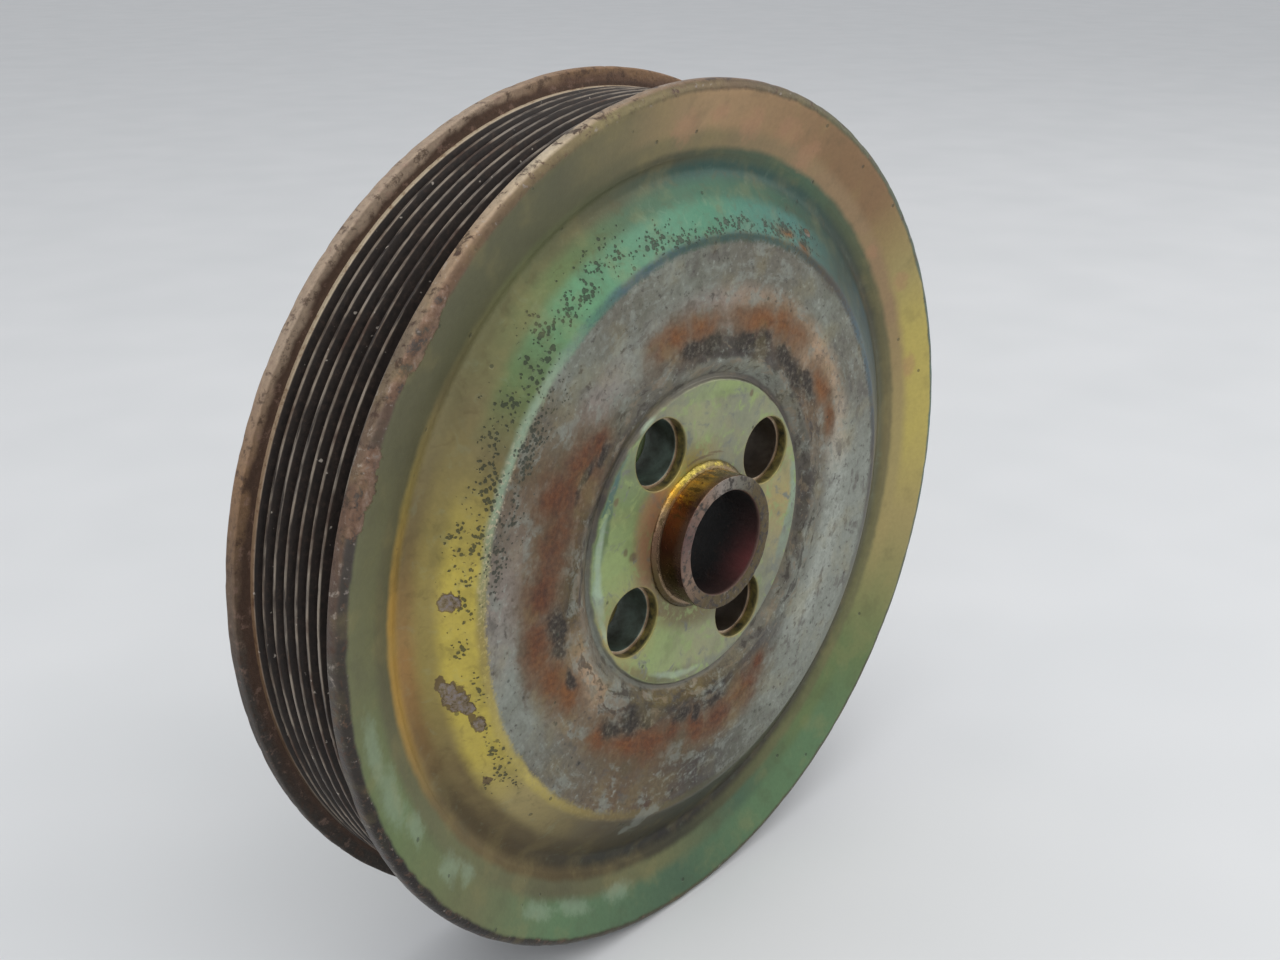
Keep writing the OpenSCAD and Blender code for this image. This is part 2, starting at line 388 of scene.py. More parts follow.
def grooved_rim(material):
    corners = [(BAND_R, BAND_FRONT_H, 0), (SEAT_R, ZONE_H, 0), (CREST_R, ZONE_H, 0)]
    for i in range(GROOVES):
        middle = (GROOVES - 1) * PITCH / 2 - i * PITCH
        corners += [
            (CREST_R, middle + GROOVE_TOP / 2, CREST_ROUND),
            (ROOT_R, middle + GROOVE_ROOT / 2, ROOT_ROUND),
            (ROOT_R, middle - GROOVE_ROOT / 2, ROOT_ROUND),
            (CREST_R, middle - GROOVE_TOP / 2, CREST_ROUND),
        ]
    corners += [(CREST_R, -ZONE_H, 0), (BAND_R, -ZONE_H, 0)]

    def worn(r, h, angle):
        crest = np.clip((r - ROOT_R) / GROOVE_DEPTH, 0, 1) ** 4
        out = np.zeros_like(r)
        for i in range(GROOVES + 1):
            rib = (GROOVES / 2 - i) * PITCH
            out -= near(h, rib, 0.9) * dents(angle, 26, 0.006, 0.14, 40 + i)
        return out * crest, np.zeros_like(r)

    piece("grooved_belt_band", "grooved_rim", turned(corners, MEDIUM), material, worn)


def rear_disc(material):
    corners = [
        (TUBE_R, SPACER_BACK_H, 0),
        (TUBE_R, PLATE_H, 0),
        (REAR_FLAT_R, PLATE_H, 4),
        (REAR_CONE_R, REAR_H, 5),
        (FLANGE_R, REAR_H, FLANGE_ROUND),
        (FLANGE_R, -ZONE_H, EDGE),
        (REAR_CONE_IN_R, -ZONE_H, 3),
        (REAR_FLAT_R, SPACER_BACK_H, 4),
    ]

    def worn(r, h, angle):
        edge = flange_edge(r)
        out = -edge * (dents(angle, 60, 0.012, 0.22, 61) + dents(angle, 24, 0.035, 0.15, 62))
        return out, edge * dents(angle, 40, 0.02, 0.1, 63) * np.sign(-ZONE_H - 1.5 - h)

    piece("rear_disc_sheet", "rear_disc", drilled(corners, MEDIUM, BOLT_HOLE_R), material,
          worn)


def hub_spacer(material):
    corners = [
        (TUBE_R, SPACER_BACK_H, 0),
        (SPACER_R, SPACER_BACK_H, 0),
        (SPACER_R, PAD_BACK_H, 0),
        (TUBE_R, PAD_BACK_H, 0),
    ]
    piece("hub_spacer_ring", "hub_spacer", drilled(corners, MEDIUM, BOLT_HOLE_R), material)


def rear_hub_plate(material):
    corners = [
        (TUBE_R, PLATE_H, 0),
        (TUBE_R, REAR_CHAMFER, 0),
        (TUBE_R + REAR_CHAMFER, 0, 0),
        (PLATE_R, 0, PLATE_BREAK),
        (PLATE_R, PLATE_H, 0),
    ]
    piece("rear_plate_disc", "rear_hub_plate", drilled(corners, MEDIUM, BOLT_HOLE_R),
          material)


def hub_tube(material):
    corners = [
        (BORE_R, TUBE_BACK_H, EDGE),
        (TUBE_R, TUBE_BACK_H, 0),
        (TUBE_R, NOSE_START_H, 0),
        (NOSE_R, NOSE_START_H, 0),
        (NOSE_R, NOSE_H, NOSE_BREAK),
        (BORE_R, NOSE_H, EDGE),
    ]

    def worn(r, h, angle):
        end = np.clip((h - NOSE_H + 1.2) / 1.2, 0, 1)
        knocked = end * (dents(angle, 16, 0.06, 0.16, 81) + dents(angle, 30, 0.025, 0.1, 82))
        outside = np.where(r > (BORE_R + NOSE_R) / 2, -1.0, 1.0)
        return outside * knocked * 0.6, -end * dents(angle, 14, 0.08, 0.14, 83)

    piece("hub_tube_nose", "hub_tube", turned(corners, FINE, 360), material, worn)


def fillet(corner, leg_end, other_end, sag, steps=8):
    """The outline of a braze or weld fillet in a corner, hollow by its sag."""
    corner, p, q = (np.array(c, float) for c in (corner, leg_end, other_end))
    pull = (p + q) / 2 + (corner - (p + q) / 2) * sag
    parts = [k / steps for k in range(steps + 1)]
    curve = [(1 - t) ** 2 * p + 2 * t * (1 - t) * pull + t * t * q for t in parts]
    return [(float(r), float(h), 0) for r, h in [corner, *curve]]


def bead(name, node, corners, corner, material, ripple, count, seed):
    """A ring of braze or weld. Ripples sink its free surface, most of all away from its corner."""
    reach = max(math.dist(corner, c[:2]) for c in corners)

    def worn(r, h, angle):
        away = np.hypot(r - corner[0], h - corner[1]) / reach
        free = np.clip(away, 0, 1) * np.clip((away - 0.3) * 4, 0, 1)
        beat = 0.5 + 0.5 * np.cos(count * angle + waves(angle, 5, 2.0, seed))
        sink = ripple * free * (0.6 * beat + 0.4 * np.abs(waves(angle, 40, 1.0, seed + 1)))
        turn_out, turn_up = (corner[0] - r) / reach, (corner[1] - h) / reach
        return sink * turn_out, sink * turn_up

    piece(name, node, turned(corners, FINE / 3), material, worn)


def nose_braze(material):
    corners = [(TUBE_R, PAD_H - NOSE_BRAZE_DEPTH, 0)]
    for step in range(9):
        a = math.radians(90 * step / 8)
        corners.append((TUBE_R + (NOSE_BRAZE_R - TUBE_R) * math.cos(a),
                        PAD_H + NOSE_BRAZE_RISE * math.sin(a), 0))
    bead("nose_braze_ring", "tube_front_braze", corners, (TUBE_R, PAD_H), material, 0.22, 7, 101)


def bead_pieces(braze, weld):
    """The braze and weld rings at the rear and inside the pulley."""
    gap = REAR_CHAMFER - TUBE_BACK_H
    middle = (TUBE_R + gap / 2, TUBE_BACK_H + 0.12)
    rear = [
        (TUBE_R, REAR_CHAMFER, 0), (TUBE_R, TUBE_BACK_H, 0), (*middle, 0),
        (TUBE_R + gap, TUBE_BACK_H, 0),
    ]
    bead("tube_rear_braze_ring", "tube_rear_braze", rear, (TUBE_R, REAR_CHAMFER), braze, 0.1, 30,
         111)

    leg, lip, sag = 1.6, 0.8, 0.35
    k = (SPACER_R, PAD_BACK_H)
    front = fillet(k, (k[0], k[1] - leg), (k[0] + lip, k[1]), sag)
    bead("spacer_front_braze_ring", "spacer_front_braze", front, k, braze, 0.15, 40, 121)
    k = (SPACER_R, SPACER_BACK_H)
    back = fillet(k, (k[0] + leg, k[1]), (k[0], k[1] + leg), sag)
    bead("spacer_rear_braze_ring", "spacer_rear_braze", back, k, braze, 0.15, 40, 131)

    k, leg = (PLATE_R, PLATE_H), 3
    seam = fillet(k, (k[0], k[1] - leg), (k[0] + 2.1, k[1]), 0.1)
    bead("rear_plate_weld_bead", "rear_plate_weld", seam, k, weld, 0.5, 110, 141)

    k, leg = (BAND_R, BAND_FRONT_H), 2.5
    front = fillet(k, (k[0] - leg, k[1] - leg * SEAT_SLOPE), (k[0], k[1] - leg), sag)
    bead("front_rim_braze_ring", "front_rim_braze", front, k, braze, 0.2, 60, 151)
    k = (BAND_R, -ZONE_H)
    back = fillet(k, (k[0], k[1] + leg), (k[0] - leg, k[1]), sag)
    bead("rear_rim_braze_ring", "rear_rim_braze", back, k, braze, 0.2, 60, 161)


# ---------------------------------------------------------------------------------------------
# Material building
# ---------------------------------------------------------------------------------------------
def colour(text):
    """A linear colour from its sRGB hex digits."""
    channels = [int(text[i:i + 2], 16) / 255 for i in (0, 2, 4)]
    return (*(c / 12.92 if c <= 0.04045 else ((c + 0.055) / 1.055) ** 2.4 for c in channels), 1)


SEAM = 320  # the angle where the materials' angle coordinate starts again


def from_seam(degrees):
    """An angle counted from the seam on."""
    return (degrees - SEAM) % 360


PAINTS = {name: colour(text) for name, text in {
    "gold": "b4a45a", "straw": "9e8f5e", "tan": "92795a", "peach": "a67e60", "mauve": "7e6656",
    "khaki": "756b4a", "olive": "5c5a40", "dark_olive": "484630", "black_olive": "38382a",
    "moss": "686a48", "leaf": "63744a", "fern": "5a7654", "pine": "48604a", "mint": "62906c",
    "jade": "568068", "teal": "4a6862", "sea": "4a6068", "amber": "ad8a44", "lemon": "b8a64c",
    "mustard": "8f8048", "bronze": "70603c", "umber": "524529", "zinc": "84887f", "pale_zinc": "979b92",
    "ash": "74776c", "stone": "69665b", "clay": "7a6b58", "earth": "66543f", "soot": "38322c",
    "fog": "8a9c84", "pad": "909270", "pad_green": "8c9c66", "pad_grey": "80836e", "rust": "57321e",
    "bright_rust": "6f4222", "red_rust": "3e241a", "iron": "453f3a", "scale": "857c74", "lilac": "7b7270",
    "pink": "927668", "black": "201c1a", "line": "8c8072", "dust": "b8aea2", "deep_teal": "38504a",
    "deep_green": "425a48", "night": "2f2e24", "bistre": "483a1e", "caramel": "947242", "cream": "d0bfa4",
    "brown": "6b5140", "hazel": "86684c", "toffee": "a07c5c", "cocoa": "4e3a2e", "honey": "cc9a34",
    "rose_rust": "643030", "maroon": "38201e", "mist": "a9bda4", "sand": "a98f74", "plum": "5c4440",
    "fawn": "86694a", "slate": "5c5852", "coal": "241f1c", "ochre": "80552c", "putty": "a4907c",
    "emerald": "3e7058", "lagoon": "44766e", "spruce": "365a46", "abyss": "2b4840", "camel": "a28561",
    "sage": "76885a", "tar": "2c2420", "residue": "40332c", "pit": "2e342a", "deep_bore": "100d0c",
    "hole_dark": "1f2a27", "hole_light": "46605a", "floor_grey": "d2d4d6", "floor_pale": "dcdddf",
}.items()}


class Graph:
    """A material whose nodes are made by calls that read like a formula."""

    def __init__(self, name, metallic=0.0):
        self.material = bpy.data.materials.new(name)
        self.material.use_nodes = True
        self.tree = self.material.node_tree
        self.shader = self.tree.nodes["Principled BSDF"]
        self.shader.inputs["Metallic"].default_value = metallic
        scale = self.tree.nodes.new("ShaderNodeMapping")
        scale.inputs["Scale"].default_value = (1 / MM, 1 / MM, 1 / MM)
        self.put(scale.inputs["Vector"], self.tree.nodes.new("ShaderNodeTexCoord").outputs["Object"])
        self.place = scale.outputs[0]

    def put(self, socket, value):
        """Gives a socket a link, a number, a vector, or a paint by its name."""
        if isinstance(value, bpy.types.NodeSocket):
            self.tree.links.new(value, socket)
        else:
            socket.default_value = PAINTS[value] if isinstance(value, str) else value

    def math(self, operation, *values, clamp=False):
        node = self.tree.nodes.new("ShaderNodeMath")
        node.operation = operation
        node.use_clamp = clamp
        for socket, value in zip(node.inputs, values):
            self.put(socket, value)
        return node.outputs[0]

    def times(self, one, other):
        return self.math("MULTIPLY", one, other)

    def plus(self, one, other):
        return self.math("ADD", one, other)

    def most(self, one, other):
        return self.math("MAXIMUM", one, other)

    def scaled(self, value, factor, offset, clamp=False):
        return self.math("MULTIPLY_ADD", value, factor, offset, clamp=clamp)

    def vector(self, operation, *values):
        node = self.tree.nodes.new("ShaderNodeVectorMath")
        node.operation = operation
        for socket, value in zip(node.inputs, values):
            self.put(socket, value)
        return node.outputs["Value" if operation in ("LENGTH", "DISTANCE", "DOT_PRODUCT") else "Vector"]

    def split(self, vector):
        node = self.tree.nodes.new("ShaderNodeSeparateXYZ")
        self.put(node.inputs[0], vector)
        return node.outputs

    def join(self, x, y, z):
        node = self.tree.nodes.new("ShaderNodeCombineXYZ")
        for socket, value in zip(node.inputs, (x, y, z)):
            self.put(socket, value)
        return node.outputs[0]

    def noise(self, size, detail=4.0, rough=0.55, place=None, bend=0.0, output="Fac"):
        """Noise with features of about a size in millimetres."""
        node = self.tree.nodes.new("ShaderNodeTexNoise")
        self.put(node.inputs["Vector"], place or self.place)
        node.inputs["Scale"].default_value = 1 / size
        node.inputs["Detail"].default_value = detail
        node.inputs["Roughness"].default_value = rough
        node.inputs["Distortion"].default_value = bend
        return node.outputs[output]

    def cells(self, size, place=None, output="Distance"):
        node = self.tree.nodes.new("ShaderNodeTexVoronoi")
        self.put(node.inputs["Vector"], place or self.place)
        node.inputs["Scale"].default_value = 1 / size
        return node.outputs[output]

    def smooth(self, value, low, high):
        """0 up to low, 1 from high on, and a smooth step between."""
        node = self.tree.nodes.new("ShaderNodeMapRange")
        node.interpolation_type = "SMOOTHSTEP"
        for socket, number in zip(node.inputs, (value, low, high, 0.0, 1.0)):
            self.put(socket, number)
        return node.outputs[0]

    def between(self, value, low, high, soft):
        return self.times(self.smooth(value, low - soft, low + soft),
                          self.smooth(value, high + soft, high - soft))

    def mix(self, factor, one, other, mode="MIX"):
        node = self.tree.nodes.new("ShaderNodeMix")
        node.data_type = "RGBA"
        node.blend_type = mode
        for name, value in (("Factor_Float", factor), ("A_Color", one), ("B_Color", other)):
            socket = next(s for s in node.inputs if s.identifier == name)
            self.put(socket, value)
        return next(s for s in node.outputs if s.identifier == "Result_Color")

    def coat(self, base, tone, mask, amount=None):
        """The base with a tone laid over it through a mask, weakened to an amount."""
        return self.mix(mask if amount is None else self.times(mask, amount), base, tone)

    def shaded(self, base, shade):
        """The base multiplied by a shade of grey."""
        return self.mix(1.0, base, shade, "MULTIPLY")

    def stain(self, base, tone, value, clean, full, amount=None):
        """The base with a tone that comes in between two values, weakened to an amount."""
        return self.coat(base, tone, self.smooth(value, clean, full), amount)

    def stain_on(self, base, area, tone, value, clean, full, amount):
        """A stain inside an area only."""
        return self.coat(base, tone, self.times(area, self.smooth(value, clean, full)), amount)

    def ramp(self, value, stops):
        """A colour by a value, from stops of (value, paint or colour)."""
        node = self.tree.nodes.new("ShaderNodeValToRGB")
        self.put(node.inputs[0], value)
        elements = node.color_ramp.elements
        while len(elements) < len(stops):
            elements.new(0.5)
        for element, (position, stop) in zip(elements, sorted(stops, key=lambda s: s[0])):
            element.position = position
            element.color = PAINTS.get(stop, stop)
        return node.outputs[0]

    def height(self):
        """The height in millimetres, along the axis towards the front."""
        return self.times(self.split(self.place)[1], -1.0)

    def polar(self, place=None):
        """Radius in millimetres, and angle in degrees from the seam on."""
        x, _, z = self.split(place or self.place)
        radius = self.vector("LENGTH", self.join(x, 0.0, z))
        degrees = self.scaled(self.math("ARCTAN2", z, x), math.degrees(1), 720.0 - SEAM)
        return radius, self.math("MODULO", degrees, 360.0)

    def ring(self, angle, stops):
        """A colour by angle, from the paints at some angles. Every ring has one at the seam."""
        turned_stops = [(from_seam(at) / 360, name) for at, name in stops.items()]
        return self.ramp(self.math("DIVIDE", angle, 360.0), [*turned_stops, (1.0, stops[SEAM])])

    def rings(self, radius, angle, zones):
        """Rings of colour from the middle out: each zone is (inner radius, softness, stops)."""
        result = self.ring(angle, zones[0][2])
        for inner, soft, stops in zones[1:]:
            result = self.mix(self.smooth(radius, inner - soft, inner + soft), result,
                              self.ring(angle, stops))
        return result

    def marks(self, radius, angle, places):
        """How near the nearest mark is: 0 in its middle, 1 at its edge. A mark is (angle, radius,
        half its length along the angle, half its width), with the last three in millimetres."""
        nearest = None
        at = self.join(angle, radius, 0.0)
        for degrees, mm, length, width in places:
            half = math.degrees(length / mm)
            shift = (-from_seam(degrees) / half, -mm / width, 0)
            away = self.vector("LENGTH", self.vector("MULTIPLY_ADD", at, (1 / half, 1 / width, 0), shift))
            nearest = away if nearest is None else self.math("MINIMUM", nearest, away)
        return nearest

    def astray(self, *wanders):
        """The place, led astray by wanders of (size, reach, detail), in millimetres."""
        place = self.place
        for size, reach, detail in wanders:
            swing = self.vector("SUBTRACT", self.noise(size, detail, output="Color"), (0.5, 0.5, 0.5))
            place = self.vector("ADD", place, self.vector("MULTIPLY", swing, (2.5 * reach,) * 3))
        return place

    def finish(self, base, rough, heights=None, metallic=None):
        """Connects the shader. heights is in millimetres."""
        self.put(self.shader.inputs["Base Color"], base)
        self.put(self.shader.inputs["Roughness"], rough)
        if metallic is not None:
            self.put(self.shader.inputs["Metallic"], metallic)
        if heights is not None:
            bump = self.tree.nodes.new("ShaderNodeBump")
            bump.inputs["Distance"].default_value = MM
            self.put(bump.inputs["Height"], heights)
            self.put(self.shader.inputs["Normal"], bump.outputs[0])
        return self.material


# ---------------------------------------------------------------------------------------------
# The front sheet's finish: yellow-passivated zinc, worn and rusty around the pad, and painted light
# ---------------------------------------------------------------------------------------------
# The khaki from 215° round past the seam to 0°, below the tube, is painted shadow of the tube.
PAD_INNER = {
    SEAM: "khaki", 0: "khaki", 60: "pad_grey", 100: "mustard", 120: "gold", 140: "toffee",
    165: "toffee", 188: "tan", 215: "khaki", 245: "khaki", 290: "khaki",
}
PAD = {
    SEAM: "pad_grey", 0: "straw", 30: "pad", 62: "pad_grey", 92: "pad", 115: "pad_grey", 150: "sage",
    172: "pad_green", 185: "pad_green", 205: "straw", 235: "pad_green", 270: "pad",
}
PAD_STAIN = {
    SEAM: "ash", 0: "fog", 40: "pad_grey", 75: "pad_green", 100: "pad_grey", 145: "teal", 165: "leaf",
    185: "fog", 200: "straw", 245: "moss", 270: "pad_grey",
}
# The darker ring in the pad's groove is partly stain and partly painted shade in the groove.
PAD_RIM = {SEAM: "stone", 45: "iron", 100: "stone", 150: "iron", 200: "ash", 250: "stone"}
STREAKS = {
    SEAM: "stone", 0: "iron", 30: "stone", 60: "ash", 100: "stone", 140: "soot", 165: "stone",
    185: "clay", 215: "stone", 240: "umber", 270: "umber", 300: "stone",
}
RUST_BELT = {
    SEAM: "ash", 0: "stone", 25: "earth", 60: "iron", 90: "iron", 118: "stone", 150: "bistre",
    185: "umber", 208: "sand", 235: "soot", 275: "coal", 300: "iron",
}
PLATEAU_IN = {
    SEAM: "pale_zinc", 0: "pale_zinc", 30: "sand", 60: "sand", 90: "scale", 115: "zinc", 130: "scale",
    150: "umber", 170: "earth", 185: "earth", 212: "clay", 245: "umber", 275: "earth", 300: "ash",
}
PLATEAU_OUT = {
    SEAM: "zinc", 0: "zinc", 25: "stone", 45: "ash", 62: "stone", 80: "stone", 95: "ash", 118: "stone",
    130: "ash", 150: "earth", 175: "scale", 195: "zinc", 215: "stone", 240: "earth", 268: "iron",
    295: "ash",
}
# On the shoulder's bend, fog, mustard and gold on the left are partly painted highlight, sea and deep
# teal at the upper right painted reflection; darker towards the bottom.
SHOULDER = {
    SEAM: "ash", 0: "iron", 28: "sea", 48: "iron", 70: "deep_teal", 95: "deep_teal", 112: "sea",
    122: "jade", 135: "fog", 155: "fog", 180: "mustard", 212: "gold", 240: "bronze", 270: "dark_olive",
    298: "ash",
}
# On the slopes, sea and teal at the upper right are painted reflection, lemon and mustard on the left
# partly painted highlight, and night at the bottom painted shade.
SLOPE_UP = {
    SEAM: "dark_olive", 0: "stone", 25: "sea", 45: "deep_teal", 62: "lagoon", 88: "emerald",
    104: "jade", 122: "mint", 138: "leaf", 150: "khaki", 168: "lemon", 202: "lemon", 216: "straw",
    240: "umber", 268: "night",
}
SLOPE_DOWN = {
    SEAM: "dark_olive", 0: "stone", 25: "sea", 45: "deep_teal", 66: "spruce", 88: "spruce", 105: "pine",
    120: "leaf", 145: "khaki", 165: "mustard", 185: "mustard", 203: "bronze", 235: "umber",
    270: "night",
}
# The valley's dark colours are partly painted shade in the hollow; darker towards the bottom.
VALLEY = {
    SEAM: "dark_olive", 0: "olive", 30: "black_olive", 60: "abyss", 90: "abyss", 112: "olive",
    125: "moss", 150: "khaki", 165: "bronze", 182: "caramel", 205: "umber", 225: "bistre", 250: "night",
    270: "coal",
}
# Amber on the left is a painted highlight along the ridge's convex edge; darker towards the bottom.
RIDGE = {
    SEAM: "moss", 0: "khaki", 30: "olive", 60: "pine", 95: "dark_olive", 125: "moss", 145: "khaki",
    158: "mustard", 172: "amber", 188: "amber", 206: "bronze", 240: "umber", 270: "black_olive",
    300: "moss",
}
# On the ring, gold at the right and tan and fawn at the upper right are partly painted highlight and
# reflection.
RING_IN = {
    SEAM: "leaf", 0: "straw", 25: "tan", 60: "tan", 95: "khaki", 112: "olive", 150: "olive",
    185: "olive", 215: "moss", 240: "olive", 265: "moss", 285: "pine", 305: "leaf", 342: "straw",
}
RING_OUT = {
    SEAM: "leaf", 345: "straw", 0: "gold", 18: "gold", 30: "straw", 44: "fawn", 58: "fawn", 88: "camel",
    104: "khaki", 116: "olive", 150: "olive", 180: "moss", 200: "leaf", 222: "moss", 240: "fern",
    268: "pine", 288: "fern", 305: "fern",
}
LIP = {
    SEAM: "dark_olive", 0: "teal", 60: "olive", 85: "earth", 105: "khaki", 125: "earth", 140: "brown",
    160: "iron", 178: "soot", 200: "coal", 230: "coal", 265: "dark_olive",
}
# The flange edge's cream at the upper left is painted highlight; darker towards the bottom.
FLANGE_EDGE = {
    SEAM: "soot", 0: "brown", 60: "brown", 92: "hazel", 104: "sand", 116: "cream", 130: "sand",
    142: "clay", 160: "brown", 180: "iron", 215: "soot", 260: "soot",
}
SHOULDER_FLECKS = {
    SEAM: "ash", 20: "iron", 60: "umber", 100: "deep_green", 122: "teal", 140: "fog", 158: "cream",
    185: "gold", 225: "straw", 250: "bronze", 280: "soot",
}
FRONT_ZONES = [
    (0, 0, PAD_INNER), (22.5, 2.5, PAD), (PAD_R, 0.4, PAD_RIM), (37.9, 0.4, STREAKS),
    (41.6, 0.8, RUST_BELT), (48, 3, PLATEAU_IN), (57, 3, PLATEAU_OUT), (67.2, 0.7, SHOULDER),
    (69.4, 0.8, SLOPE_UP), (76, 1.6, SLOPE_DOWN), (80, 1.6, VALLEY), (83.8, 1.3, RIDGE),
    (86.6, 0.9, RING_IN), (90.6, 1.6, RING_OUT), (98.9, 0.5, LIP),
]
RUST = [
    (20, 50, 5, 2), (31, 50, 6, 2.8), (56, 51, 8, 3.6), (68, 50.5, 8, 3), (92, 49.5, 6, 3.4),
    (103, 50, 7, 3.6), (138, 47.5, 4, 2.8), (146, 49, 8, 5.2), (154, 53, 6, 5.6), (163, 50, 8, 4.8),
    (176, 52, 8, 4.6), (188, 54, 9, 3.8), (199, 52, 6, 3.8), (207, 50, 5, 3.4), (226, 51, 4, 3.2),
    (236, 51.5, 8, 3.2), (248, 50, 8, 4.4), (256, 48, 4, 3), (268, 50, 4, 4.4), (277, 50.5, 7, 4.4),
    (289, 49.5, 7, 4.2), (61, 70, 3, 1.6), (66, 71.5, 4, 1.4), (297, 47, 3, 2),
]
RUST_BY_ANGLE = {
    SEAM: "rust", 20: "ochre", 100: "ochre", 130: "rust", 185: "rust", 205: "ochre", 240: "bright_rust",
    280: "rust",
}
CORES = [
    (35, 46.5, 6, 2.2), (44, 45, 6, 2.6), (53, 46, 4, 2), (66, 47, 4, 2), (72, 45.6, 5, 2.6),
    (90, 45.5, 5, 2.2), (97, 46, 5, 1.8), (139, 44.6, 3, 1.4), (147, 46.5, 5, 1.4), (186, 48, 5, 3.2),
    (193, 48.5, 3.5, 2.6), (204, 48, 2.5, 1.4), (229, 48.5, 4, 2.6), (236, 46, 5, 3.4), (243, 45, 3, 2),
    (268, 46, 1.8, 2.2), (260, 45.2, 4, 2), (277, 45.2, 4.5, 2),
]
PALE_SPOTS = [
    (28, 93, 3.2, 2.8), (37, 88.6, 2.2, 2), (64, 90.6, 4.2, 3.6), (70, 92.5, 4, 3),
    (78, 92.4, 3.6, 3.6), (92, 91.6, 4.4, 4), (86, 94, 3, 2.4), (12, 91.5, 4, 2.6),
]
GREEN_SPOTS = [
    (190, 95, 8, 2), (197, 93.8, 8, 3), (204, 92.4, 4, 2), (214, 92.6, 4, 2.8), (218, 91, 3, 2),
    (236, 93, 5, 1.8), (244, 92.4, 6, 2.2), (254, 91, 5, 2),
]
CHIPS = [
    (173, 74.1, 1.9, 1.8), (187.4, 75.8, 1.6, 1.0), (188.8, 74.8, 2.6, 1.6), (190.6, 73.8, 2.4, 1.7),
    (192.2, 72.6, 1.5, 1.2), (196.2, 71.5, 1.8, 1.1), (58, 74.5, 1.2, 0.8),
]
CHIP_STAINS = [
    (186.6, 76.2, 2.2, 1.1), (189.4, 74.4, 3.8, 2.1), (196, 71.6, 2.4, 1.5), (194, 72.4, 1.4, 0.8),
    (208.3, 74.6, 1.3, 1.1), (253, 66, 1.6, 0.8),
]
PITTED = [
    (97, 70.8, 9, 1.7), (84, 70.4, 8, 1.4), (72, 70.8, 7, 1.6), (66, 73, 4, 1.6), (112, 74.4, 4, 2.6),
    (118, 75.4, 4, 2.4), (122, 72.4, 7, 2.4), (129, 74.4, 4, 2.6), (134, 71.6, 6, 2.2),
    (141, 73.2, 3, 3), (147, 71.4, 6, 2.2), (155, 70.8, 6, 2.4), (104, 72, 7, 1.8), (164, 72.4, 5, 2.6),
    (173, 71, 6, 1.6), (181.5, 71.8, 2.4, 1.8), (190, 70.8, 6, 1.4), (205, 70.8, 8, 1.6),
    (60, 72, 6, 3), (147, 65, 12, 3), (165, 65, 10, 3), (208.3, 74.6, 1.6, 1.4),
]
# Painted highlight along the pad's edge, most on its left.
PAD_HIGHLIGHTS = [
    (168, 34.6, 9, 1.2), (186, 34.4, 8, 1.4), (120, 36.2, 3, 0.6), (200, 35, 5, 0.9),
    (255, 34.2, 10, 1),
]
# Brown spots on the pad; the two thin arcs above the nose, at 76° and 92°, are painted shadow of the nose
# braze.
PAD_SPOTS_AND_SHADOW = [
    (175, 23.5, 1.2, 1.4), (171, 26, 1, 0.8), (60, 34.4, 0.8, 0.9), (92, 18.9, 5, 0.35),
    (76, 19.4, 3, 0.3), (150, 33, 1, 0.8), (222, 21, 2, 0.8),
]
PAD_BLUSH = [(152, 21, 6, 3.4), (140, 20.4, 5, 2.6), (168, 20, 5, 2.6), (186, 19.4, 5, 1.8)]
PAD_MARKS = [
    (PAD_HIGHLIGHTS, "mist", 1.2, 0.4, 0.5), (PAD_SPOTS_AND_SHADOW, "earth", 1.3, 0.5, 0.7),
    (PAD_BLUSH, "toffee", 1.5, 0.2, 0.6),
]
LIP_CHIPS = [
    (137, 100, 4, 1.6), (139.5, 99.4, 4, 2.6), (142.5, 99.4, 4, 2.6), (146, 100.2, 4, 1.6),
    (154.5, 100, 3, 2.4), (157.5, 99.6, 4, 3), (161, 100.2, 3.4, 2),
]
SPLASH = [(252, 70, 3, 4), (255, 68, 3, 2), (250, 73, 2, 2)]


def hole_distance(graph, radius, angle):
    """The distance to the nearest bolt hole's axis."""
    quarter = graph.math("MODULO", graph.plus(angle, SEAM + 45.0 - BOLT_PHASE + 360), 90.0)
    local = graph.math("RADIANS", graph.math("SUBTRACT", quarter, 45.0))
    along = graph.math("SUBTRACT", graph.times(radius, graph.math("COSINE", local)), BOLT_R)
    across = graph.times(radius, graph.math("SINE", local))
    return graph.vector("LENGTH", graph.join(along, across, 0.0))


def rounded_square(graph, radius, angle, flat_angle, power=3.0):
    """The size of the rounded square through a point, with flats at an angle and its quarters."""
    local = graph.math("RADIANS", graph.plus(angle, SEAM - flat_angle + 720))
    sides = [graph.times(radius, graph.math(f, local)) for f in ("COSINE", "SINE")]
    powers = [graph.math("POWER", graph.math("ABSOLUTE", s), power) for s in sides]
    return graph.math("POWER", graph.plus(*powers), 1 / power)


